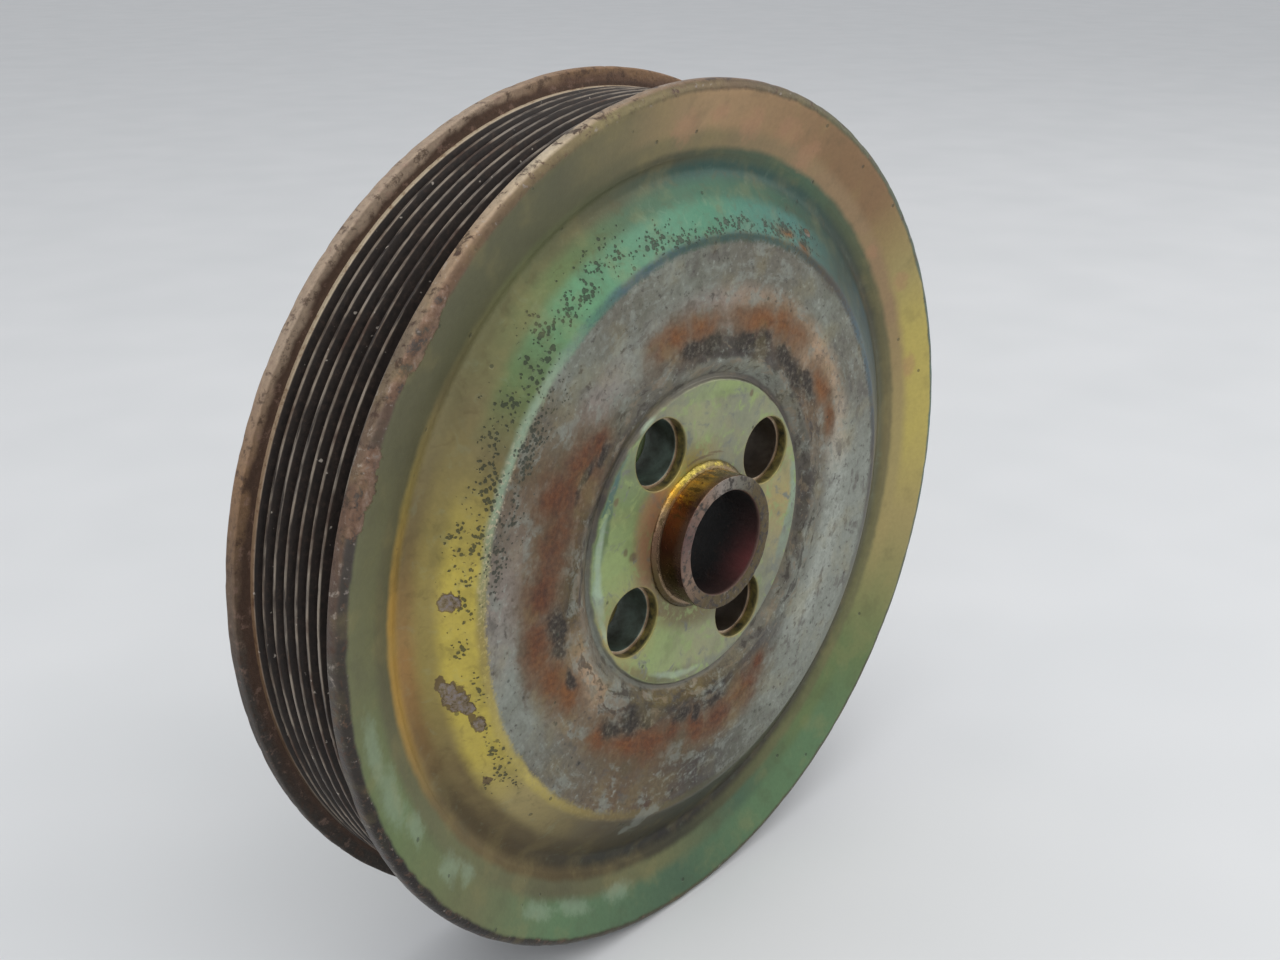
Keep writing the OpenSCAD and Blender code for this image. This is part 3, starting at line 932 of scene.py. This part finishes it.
def web_material():
    graph = Graph("yellow_passivated_sheet")
    radius, angle = graph.polar()
    ragged = graph.astray((16, 2.6, 3), (3, 0.9, 4))
    rough_radius, rough_angle = graph.polar(ragged)
    drift = graph.astray((5, 0.55, 4))
    near_radius, near_angle = graph.polar(drift)
    height = graph.height()

    # Paint by radius and angle: the sheet's bends keep sharp edges, and the angles wander.
    # Besides the plating's own tones, the colours by angle paint highlights, reflections and shade.
    base = graph.rings(near_radius, rough_angle, FRONT_ZONES)

    # Pad: a clean contact area with stained corners, and a dark line where they meet
    square = rounded_square(graph, rough_radius, rough_angle, BOLT_PHASE + 45)
    on_pad = graph.smooth(near_radius, PAD_R + 0.2, PAD_R - 0.4)
    stained = graph.times(graph.smooth(square, 31.6, 33.2), on_pad)
    base = graph.coat(base, graph.ring(rough_angle, PAD_STAIN), stained)

    smear = graph.noise(3.5, 5, 0.6, ragged, 0.6)
    base = graph.coat(base, "pad_green", on_pad, graph.smooth(smear, 0.5, 0.7))
    base = graph.coat(base, "ash", on_pad, graph.smooth(smear, 0.46, 0.3))
    # Pad marks: a painted highlight on its edge, brown spots with painted shadow, and a toffee blush.
    for places, tone, edge, core, amount in PAD_MARKS:
        base = graph.stain(base, tone, graph.marks(near_radius, near_angle, places), edge, core, amount)

    # Mottled zinc on the worn plateau, streaked along the turn
    plateau = graph.between(near_radius, PLATEAU_FROM, PLATEAU_TO, 1.0)
    combed = graph.join(graph.times(rough_radius, 1.6), graph.times(rough_angle, 0.35), 0.0)
    streaks = graph.noise(3.2, 5, 0.65, combed)
    patches = graph.noise(6, 5, 0.62, ragged)
    blend = graph.scaled(streaks, 0.4, graph.times(patches, 0.6))
    base = graph.stain_on(base, plateau, "zinc", blend, 0.5, 0.6, 0.7)
    base = graph.stain_on(base, plateau, "slate", blend, 0.48, 0.38, 0.75)
    bloom = graph.noise(1.9, 4, 0.7)
    base = graph.stain_on(base, plateau, "pale_zinc", bloom, 0.56, 0.74, 0.7)
    base = graph.stain_on(base, plateau, "iron", bloom, 0.44, 0.3, 0.8)

    # Swirled streaks close to the pad
    swirl = graph.between(near_radius, 37.2, 46.5, 1.2)
    base = graph.stain_on(base, swirl, "clay", streaks, 0.53, 0.62, 0.6)
    base = graph.stain_on(base, swirl, "soot", streaks, 0.47, 0.38, 0.7)

    # Pale and green blooms on the outer ring
    torn = graph.scaled(graph.noise(1.8, 3, 0.6), 1.3, -0.65)
    for places, tone, edge, core in ((PALE_SPOTS, "peach", 1.3, 0.4), (GREEN_SPOTS, "fog", 1.5, 0.3)):
        blooms = graph.plus(graph.marks(rough_radius, rough_angle, places), torn)
        base = graph.stain(base, tone, blooms, edge, core, 0.5)

    # Rust around the pad: a brown halo, orange rust, and dark scale in its middle
    grit = graph.noise(1.1, 6, 0.72)
    rust_far = graph.marks(rough_radius, rough_angle, RUST)
    uneven = graph.scaled(grit, 0.5, graph.scaled(patches, 1.6, -1.05))
    rust_reach = graph.plus(rust_far, uneven)
    halo = graph.times(graph.smooth(rust_reach, 2.2, 0.9), plateau)
    base = graph.coat(base, "earth", halo, 0.75)
    rust_mask = graph.smooth(rust_reach, 1.55, 0.1)
    rust_tone = graph.ramp(graph.scaled(grit, 0.45, graph.times(streaks, 0.65)),
                           [(0.42, "red_rust"), (0.52, "rust"), (0.62, "bright_rust"), (0.74, "earth")])
    rust_tone = graph.coat(rust_tone, graph.ring(rough_angle, RUST_BY_ANGLE), 0.5)
    base = graph.coat(base, rust_tone, rust_mask, 0.95)
    core_far = graph.marks(rough_radius, rough_angle, CORES)
    core_mask = graph.smooth(graph.plus(core_far, uneven), 1.35, 0.5)
    core_tone = graph.ramp(grit, [(0.4, "coal"), (0.54, "soot"), (0.68, "stone")])
    base = graph.coat(base, core_tone, core_mask, 0.9)

    # Speckled wear line along the shoulder, with painted highlight in its cream and gold on the left
    flecks = graph.smooth(graph.noise(0.9, 3, 0.6), 0.5, 0.62)
    worn_line = graph.between(near_radius, 66.6, 69.4, 0.5)
    base = graph.coat(base, graph.ring(rough_angle, SHOULDER_FLECKS), graph.times(flecks, worn_line), 0.6)

    # Brown and pale freckles in the plating of the slope
    slope = graph.between(near_radius, 69, 84, 2)
    base = graph.stain_on(base, slope, "umber", smear, 0.54, 0.7, 0.28)
    base = graph.stain_on(base, slope, "fog", smear, 0.44, 0.3, 0.12)

    # A whitish splash by the shoulder, low on the sheet
    splash = graph.scaled(bloom, 2.0, graph.marks(near_radius, near_angle, SPLASH))
    base = graph.stain(base, "zinc", splash, 2.0, 1.5, 0.6)

    # Pits through the plating, in ragged clusters
    pitted = graph.marks(rough_radius, rough_angle, PITTED)
    crowd = graph.scaled(graph.noise(3, 4, 0.7), -1.8, graph.scaled(pitted, 0.32, 0.64))
    pits = graph.smooth(graph.plus(graph.cells(0.95, drift), crowd), 0.36, 0.2)
    shadow = graph.times(graph.smooth(crowd, 0.25, -0.2), 0.2)
    base = graph.coat(base, "dark_olive", shadow)
    stray = graph.smooth(graph.math("SUBTRACT", graph.cells(7), 0.07), 0.015, -0.02)
    pits = graph.most(pits, graph.times(stray, 0.7))
    base = graph.coat(base, "pit", pits, 0.78)

    # Chips down to the steel, with dark edges
    chip_far = graph.plus(graph.marks(near_radius, near_angle, CHIPS), torn)
    stain_far = graph.plus(graph.marks(near_radius, near_angle, CHIP_STAINS), torn)
    edge_mask = graph.most(graph.smooth(chip_far, 1.2, 1.08), graph.smooth(stain_far, 1.0, 0.85))
    base = graph.coat(base, "cocoa", edge_mask, 0.8)
    chip_mask = graph.smooth(chip_far, 1.05, 0.9)
    steel = graph.ramp(grit, [(0.36, "umber"), (0.48, "clay"), (0.58, "lilac"), (0.7, "scale")])
    base = graph.coat(base, steel, chip_mask)

    # Worn front edge, with a painted highlight on the flange edge's upper left
    lip = graph.smooth(near_radius, WORN_FROM, WORN_FULL)
    rubbed = graph.noise(3, 6, 0.72, ragged)
    base = graph.coat(base, "brown", lip, graph.smooth(rubbed, 0.56, 0.7))
    base = graph.coat(base, "cocoa", lip, graph.smooth(rubbed, 0.46, 0.34))
    lip_far = graph.marks(near_radius, near_angle, LIP_CHIPS)
    lip_chip = graph.smooth(graph.scaled(grit, 1.2, lip_far), 1.62, 1.42)
    bare = graph.ramp(rubbed, [(0.4, "iron"), (0.5, "brown"), (0.6, "mauve"), (0.72, "scale")])
    base = graph.coat(base, bare, lip_chip)
    nicks = graph.times(graph.smooth(graph.noise(1.4, 3, 0.6), 0.62, 0.72), 0.75)
    base = graph.coat(base, "scale", lip, nicks)
    # The flange edge tone holds its wear, and a painted highlight at the upper left.
    belt_side = graph.times(graph.smooth(radius, 99.6, 100.4),
                            graph.smooth(height, LIP_H - 0.5, LIP_H - 1.4))
    edge_tone = graph.ring(rough_angle, FLANGE_EDGE)
    edge_tone = graph.stain(edge_tone, "cocoa", rubbed, 0.5, 0.38)
    edge_tone = graph.stain(edge_tone, "dust", rubbed, 0.56, 0.68, 0.6)
    base = graph.coat(base, edge_tone, belt_side, 0.9)

    # Hole walls: golden edges, brown inside; the gold is partly plating and partly painted highlight
    to_hole = hole_distance(graph, radius, angle)
    gold_and_glint = graph.smooth(to_hole, FRONT_HOLE_R + 0.6, FRONT_HOLE_R + 0.1)
    wall = graph.smooth(height, PAD_H - 0.3, PAD_H - 0.9)
    in_hole = graph.smooth(to_hole, FRONT_HOLE_R + 0.5, FRONT_HOLE_R + 0.1)
    base = graph.coat(base, "mustard", gold_and_glint, 0.6)
    base = graph.coat(base, graph.ramp(graph.noise(2, 4), [(0.35, "black_olive"), (0.68, "mustard")]),
                      in_hole, wall)

    # General unevenness, coarser on the worn plateau and the edge than on smooth plating
    tone = graph.noise(9, 5, 0.55)
    base = graph.stain(base, "straw", tone, 0.5, 0.7, 0.16)
    base = graph.stain(base, "dark_olive", tone, 0.48, 0.3, 0.24)
    film = graph.noise(1.1, 4, 0.62)
    coarse = graph.most(plateau, lip)
    swing = graph.scaled(coarse, 0.4, 0.3)
    shade = graph.scaled(graph.math("SUBTRACT", film, 0.5), swing, 1.0)
    base = graph.shaded(base, graph.join(shade, shade, shade))

    rusty = graph.most(rust_mask, core_mask)
    rough = graph.scaled(tone, 0.22, 0.28)
    rough = graph.scaled(plateau, 0.12, rough)
    rough = graph.scaled(rusty, 0.35, rough, clamp=True)
    metal = graph.scaled(rusty, -0.4, 0.5, clamp=True)
    grain = graph.times(graph.noise(0.5, 3, 0.6), 0.03)
    heights = graph.scaled(graph.times(rusty, grit), 0.35, grain)
    heights = graph.scaled(graph.times(plateau, bloom), 0.08, heights)
    heights = graph.scaled(pits, -0.15, heights)
    heights = graph.scaled(chip_mask, -0.12, heights)
    heights = graph.scaled(graph.times(lip, rubbed), 0.25, heights)
    heights = graph.scaled(lip_chip, -0.12, heights)
    heights = graph.scaled(graph.noise(22, 2), 0.5, heights)
    return graph.finish(base, rough, heights, metal)


# The lands are rubbed; their cream at the top is partly painted highlight, and they are darker towards
# the bottom.
LAND = {
    SEAM: "cocoa", 0: "hazel", 60: "toffee", 95: "cream", 140: "cream", 160: "sand", 180: "hazel",
    215: "soot", 270: "soot",
}


def band_material():
    """Belt band: near-black residue in the grooves, bare steel along the crests."""
    graph = Graph("grooved_band", 0.35)
    radius, angle = graph.polar()
    height = graph.height()
    length = graph.times(angle, math.radians(CREST_R))
    unrolled = graph.join(graph.times(length, 0.12), height, radius)
    streak = graph.noise(1.1, 4, 0.6, unrolled)
    grit = graph.noise(1.2, 5, 0.7)
    base = graph.ramp(grit, [(0.3, "black"), (0.55, "tar"), (0.75, "residue")])
    crest = graph.smooth(radius, CREST_R - 0.3, CREST_R - 0.06)
    rubbed = graph.times(crest, graph.smooth(streak, 0.34, 0.62))
    line = graph.ramp(graph.noise(14, 4, 0.6), [(0.36, "cocoa"), (0.5, "line"), (0.7, "scale")])
    base = graph.coat(base, line, rubbed)
    land = graph.times(graph.smooth(graph.math("ABSOLUTE", height), LAND_FROM, LAND_FULL), crest)
    land_wear_and_highlight = graph.ring(angle, LAND)
    worn_land = graph.ramp(graph.noise(2.4, 5, 0.7), [(0.3, "toffee"), (0.48, (1, 1, 1, 1))])
    base = graph.coat(base, graph.shaded(land_wear_and_highlight, worn_land), land, 0.9)
    fleck = graph.smooth(graph.noise(1.5, 2, 0.4), 0.72, 0.77)
    base = graph.coat(base, "dust", fleck, 0.8)
    inside = graph.smooth(radius, ROOT_R - 1.2, ROOT_R - 1.8)
    plated = graph.ramp(graph.noise(8, 5), [(0.35, "dark_olive"), (0.55, "khaki"), (0.7, "straw")])
    base = graph.coat(base, plated, inside)
    rough = graph.scaled(grit, 0.3, 0.36)
    heights = graph.scaled(grit, 0.06, graph.times(streak, 0.05))
    return graph.finish(base, rough, heights)


# The rear flange's putty at the upper left is painted highlight; wall and edge are darker towards the
# bottom.
REAR_WALL = {
    SEAM: "cocoa", 0: "brown", 60: "brown", 90: "brown", 115: "cocoa", 150: "cocoa", 165: "cocoa",
    185: "cocoa", 220: "soot", 270: "cocoa",
}
REAR_EDGE = {
    SEAM: "soot", 0: "hazel", 60: "hazel", 92: "hazel", 108: "putty", 128: "putty", 146: "putty",
    162: "hazel", 185: "iron", 220: "soot", 270: "soot",
}


def rear_material():
    """Rear sheet: the same plating, browner, with rubbed rusty flange edges and a painted highlight."""
    graph = Graph("rear_sheet")
    radius, _ = graph.polar()
    height = graph.height()
    ragged = graph.astray((14, 3, 4))
    rough_radius, rough_angle = graph.polar(ragged)
    flat = {
        SEAM: "khaki", 20: "straw", 70: "moss", 120: "leaf", 165: "khaki", 210: "mustard", 260: "moss",
    }
    cone = {
        SEAM: "olive", 10: "moss", 60: "fern", 105: "pine", 150: "moss", 195: "mustard", 225: "bronze",
        270: "olive",
    }
    ring = {
        SEAM: "khaki", 0: "straw", 45: "tan", 90: "khaki", 135: "moss", 180: "leaf", 230: "olive",
        280: "fern",
    }
    base = graph.rings(rough_radius, rough_angle, [(0, 0, flat), (50, 2, cone), (88, 1.5, ring)])
    grit = graph.noise(1.6, 6, 0.72)
    patches = graph.noise(9, 5, 0.65, ragged)
    inner = graph.between(rough_radius, 42.5, 56, 4)
    rusty = graph.times(inner, graph.smooth(graph.plus(patches, grit), 0.98, 1.14))
    rust_tone = graph.ramp(grit, [(0.36, "red_rust"), (0.5, "rust"), (0.66, "bright_rust")])
    base = graph.coat(base, rust_tone, rusty)
    base = graph.stain(base, "ash", patches, 0.58, 0.72)
    base = graph.stain(base, "umber", patches, 0.42, 0.3)
    edge = graph.smooth(radius, WORN_FROM, WORN_FULL)
    belt_side = graph.smooth(height, REAR_BELT_SIDE_H - 0.5, REAR_BELT_SIDE_H)
    flange = graph.times(graph.smooth(radius, 95.5, 96.5), belt_side)
    flange = graph.most(edge, flange)
    rubbed = graph.noise(2.6, 6, 0.72)
    wall = graph.ring(rough_angle, REAR_WALL)
    rim = graph.ring(rough_angle, REAR_EDGE)
    brown = graph.coat(wall, rim, graph.smooth(rough_radius, 98.6, 100.3))
    brown = graph.stain(brown, "cocoa", radius, 98.6, 97.6)
    brown = graph.stain(brown, "cocoa", rubbed, 0.48, 0.36, 0.8)
    brown = graph.stain(brown, "pink", rubbed, 0.54, 0.68, 0.6)
    base = graph.coat(base, brown, flange)
    film = graph.noise(1.0, 4, 0.65)
    shades = [(0.3, (0.78, 0.78, 0.78, 1)), (0.55, (1, 1, 1, 1)), (0.75, (1.15, 1.15, 1.12, 1))]
    base = graph.shaded(base, graph.ramp(film, shades))
    rusty = graph.most(rusty, flange)
    rough = graph.scaled(rusty, 0.25, graph.scaled(patches, 0.2, 0.3), clamp=True)
    metal = graph.scaled(rusty, -0.3, 0.5, clamp=True)
    heights = graph.scaled(graph.times(rusty, grit), 0.3, graph.times(film, 0.03))
    heights = graph.scaled(graph.noise(20, 2), 0.4, heights)
    return graph.finish(base, rough, heights, metal)


def plate_material(name, dark, middle, light, turned=0.0):
    """Plain plated steel with stains, bolt holes in painted shade, and optional turning marks."""
    graph = Graph(name)
    radius, angle = graph.polar()
    in_hole = graph.smooth(hole_distance(graph, radius, angle), BOLT_HOLE_R + 0.25, BOLT_HOLE_R + 0.05)
    stain = graph.noise(8, 6, 0.65)
    grit = graph.noise(1.3, 5, 0.7)
    base = graph.ramp(stain, [(0.32, dark), (0.5, middle), (0.66, light)])
    base = graph.stain(base, "umber", grit, 0.6, 0.72)
    base = graph.coat(base, "rust", graph.smooth(graph.noise(3.2, 5, 0.7), 0.62, 0.72))
    # Bolt hole walls in painted shade: coal outside a lit sector, teal inside it as painted light.
    wall = graph.ramp(stain, [(0.36, "hole_dark"), (0.62, "hole_light")])
    lit = graph.between(angle, from_seam(85), from_seam(240), 25)
    wall = graph.coat("coal", wall, lit)
    base = graph.coat(base, wall, in_hole, 0.9)
    rings = graph.noise(0.5, 2, 0.5, graph.join(radius, 0.0, 0.0))
    heights = graph.scaled(rings, turned, graph.times(grit, 0.05))
    rough = graph.scaled(stain, 0.3, 0.25)
    return graph.finish(base, rough, heights, 0.5)


def tube_material():
    """Hub tube: gold and brown plating outside with painted glints, a worn end, a bore in painted shade.
    """
    graph = Graph("tube_plating")
    radius, angle = graph.polar()
    height = graph.height()
    wander = graph.astray((6, 1.4, 4))
    _, rough_angle = graph.polar(wander)
    outside = {
        SEAM: "umber", 20: "bistre", 60: "bronze", 95: "bronze", 112: "amber", 128: "bright_rust",
        142: "bright_rust", 158: "rust", 172: "red_rust", 195: "bistre", 220: "bistre", 240: "umber",
        275: "bistre",
    }
    base = graph.ring(rough_angle, outside)
    grit = graph.noise(1.1, 6, 0.7)
    drawn = graph.noise(2.2, 5, 0.65, graph.vector("MULTIPLY", wander, (1.0, 0.3, 1.0)))
    # Painted gold glints on the drawn streaks of the upper side.
    upper = graph.between(angle, from_seam(50), from_seam(142), 14)
    gold_and_glint = graph.times(graph.smooth(drawn, 0.5, 0.62), upper)
    base = graph.coat(base, "honey", gold_and_glint, 0.8)
    base = graph.stain(base, "bistre", drawn, 0.48, 0.34, 0.8)
    base = graph.stain(base, "cocoa", grit, 0.58, 0.7)
    nose_end = graph.smooth(graph.scaled(drawn, 2.5, height), NOSE_H - 1.6, NOSE_H + 0.6)
    base = graph.coat(base, "plum", nose_end, 0.8)
    face = graph.smooth(height, NOSE_H - 0.25, NOSE_H - 0.06)
    # The worn end face is lighter at its top, 72° to 98°, as painted highlight.
    face_tone = {
        SEAM: "umber", 0: "umber", 45: "umber", 72: "stone", 98: "scale", 122: "mauve", 160: "plum",
        200: "mauve", 240: "umber", 290: "umber",
    }
    worn = graph.ring(rough_angle, face_tone)
    spots = graph.noise(2.6, 6, 0.75)
    blotches = graph.noise(1.7, 5, 0.7)
    worn = graph.stain(worn, "soot", blotches, 0.52, 0.4)
    worn = graph.stain(worn, "scale", spots, 0.56, 0.68, 0.6)
    base = graph.coat(base, worn, face)
    # The bore is painted near black, at most angles and deeper in, as painted shade; rose and maroon tint
    # its mouth.
    bore = graph.smooth(radius, BORE_R + 0.5, BORE_R + 0.15)
    deep = graph.ring(rough_angle, {SEAM: "rose_rust", 0: "maroon", 35: "black", 230: "black",
                                    285: "maroon"})
    mouth = graph.smooth(graph.scaled(drawn, 6.0, height), NOSE_H - 8, NOSE_H + 3)
    dark = graph.coat("deep_bore", deep, mouth)
    dark = graph.stain(dark, "cocoa", grit, 0.55, 0.7, 0.4)
    base = graph.coat(base, dark, bore, graph.smooth(height, NOSE_H - 0.3, NOSE_H - 1.2))
    bare = graph.most(face, bore)
    rough = graph.scaled(grit, 0.35, graph.scaled(bare, 0.3, 0.06))
    metal = graph.scaled(bare, -0.4, 0.8)
    heights = graph.scaled(drawn, 0.15, graph.times(grit, 0.12))
    return graph.finish(base, rough, heights, metal)


def nose_braze_material():
    """Braze around the nose: glossy, gold with painted glints above, brown below."""
    graph = Graph("nose_braze")
    wander = graph.astray((5, 1.6, 4))
    _, angle = graph.polar(wander)
    stops = {
        SEAM: "umber", 20: "bronze", 60: "bronze", 90: "mustard", 112: "lemon", 128: "honey",
        145: "tan", 165: "brown", 195: "umber", 225: "bistre", 270: "bistre",
    }
    grit = graph.noise(1.8, 5, 0.7)
    base = graph.coat(graph.ring(angle, stops), "umber", graph.smooth(grit, 0.54, 0.7))
    # Painted glints along the upper side.
    upper = graph.between(angle, from_seam(60), from_seam(138), 12)
    glints = graph.times(graph.smooth(graph.noise(1.4, 3), 0.52, 0.62), upper)
    base = graph.coat(base, "lemon", glints, 0.7)
    # A painted highlight on the crease where the braze meets the nose.
    rim = graph.between(graph.polar()[0], NOSE_R, NOSE_R + 0.7, 0.2)
    base = graph.coat(base, "sand", rim, 0.5)
    heights = graph.times(graph.noise(2.2, 4, 0.6), 0.4)
    return graph.finish(base, graph.scaled(grit, 0.35, 0.04), heights, 0.8)


def seam_material(name, dark, middle, light):
    """Braze or weld: a lumpy, stained metal."""
    graph = Graph(name)
    stain = graph.noise(3, 6, 0.68)
    base = graph.ramp(stain, [(0.35, dark), (0.52, middle), (0.66, light)])
    grit = graph.noise(0.9, 4, 0.7)
    base = graph.stain(base, "rust", grit, 0.58, 0.7)
    heights = graph.scaled(grit, 0.1, graph.times(stain, 0.2))
    return graph.finish(base, graph.scaled(grit, 0.3, 0.28), heights, 0.5)


def make_materials():
    return {
        "web": web_material(),
        "band": band_material(),
        "rear": rear_material(),
        "spacer": plate_material("spacer_steel", "bronze", "sand", "cream"),
        "plate": plate_material("plate_steel", "khaki", "ash", "straw", 0.02),
        "tube": tube_material(),
        "nose_braze": nose_braze_material(),
        "braze": seam_material("inner_braze", "umber", "bronze", "honey"),
        "weld": seam_material("rear_weld", "iron", "stone", "straw"),
    }


# ---------------------------------------------------------------------------------------------
# Floor, light and camera
# ---------------------------------------------------------------------------------------------
def floor():
    """A large pale floor that the rim stands on."""
    half = 60.0
    level = -FLANGE_R * MM
    mesh = bpy.data.meshes.new("floor")
    corners = [(-half, -half, level), (half, -half, level), (half, half, level), (-half, half, level)]
    mesh.from_pydata(corners, [], [(0, 1, 2, 3)])
    mesh.materials.append(floor_material())
    made = bpy.data.objects.new("floor", mesh)
    bpy.context.scene.collection.objects.link(made)


def floor_material():
    graph = Graph("floor")
    tone = graph.noise(60, 1)
    return graph.finish(graph.coat("floor_grey", "floor_pale", tone), 0.55)


def soft_light(name, place, target, size, watts, tint):
    data = bpy.data.lights.new(name, "AREA")
    data.shape = "RECTANGLE"
    data.size, data.size_y = size
    data.energy = watts
    data.color = tint
    lamp = bpy.data.objects.new(name, data)
    bpy.context.scene.collection.objects.link(lamp)
    lamp.location = place
    lamp.rotation_euler = (Vector(target) - Vector(place)).to_track_quat("-Z", "Y").to_euler()


def lights():
    world = bpy.data.worlds.new("studio")
    world.use_nodes = True
    backdrop = world.node_tree.nodes["Background"]
    backdrop.inputs["Color"].default_value = (0.865, 0.88, 0.9, 1)
    backdrop.inputs["Strength"].default_value = 0.72
    bpy.context.scene.world = world
    soft_light("overhead", (-0.2, -0.5, 1.3), (0, 0, 0), (1.6, 1.6), 11, (1, 0.99, 0.97))
    soft_light("right_window", (1.2, -0.9, 0.7), (0, 0, 0), (1.0, 1.2), 6, (1, 0.98, 0.95))
    soft_light("left_fill", (-1.2, -0.3, 0.6), (0, 0, 0), (1.0, 1.0), 3, (0.95, 0.98, 1))


def plain_tones():
    """Colours come out as painted, without a film look."""
    bpy.context.scene.view_settings.view_transform = "Standard"


def camera():
    """The camera stands in front of the pulley, to its left and above it."""
    data = bpy.data.cameras.new("camera")
    data.lens = 40.56
    data.sensor_width = 36
    eye = bpy.data.objects.new("camera", data)
    bpy.context.scene.collection.objects.link(eye)
    right, up = Vector((0.6733, -0.7393, 0)), Vector((0.275, 0.2505, 0.928))
    forward = Vector((0.6862, 0.6250, -0.3720))
    turn = Matrix((right, up, -forward)).transposed().to_4x4()
    eye.matrix_world = Matrix.Translation((-0.2336, -0.2133, 0.1348)) @ turn
    bpy.context.scene.camera = eye


camera()
plain_tones()
floor()
lights()
materials = make_materials()
front_disc(materials["web"])
grooved_rim(materials["band"])
rear_disc(materials["rear"])
hub_spacer(materials["spacer"])
rear_hub_plate(materials["plate"])
hub_tube(materials["tube"])
nose_braze(materials["nose_braze"])
bead_pieces(materials["braze"], materials["weld"])
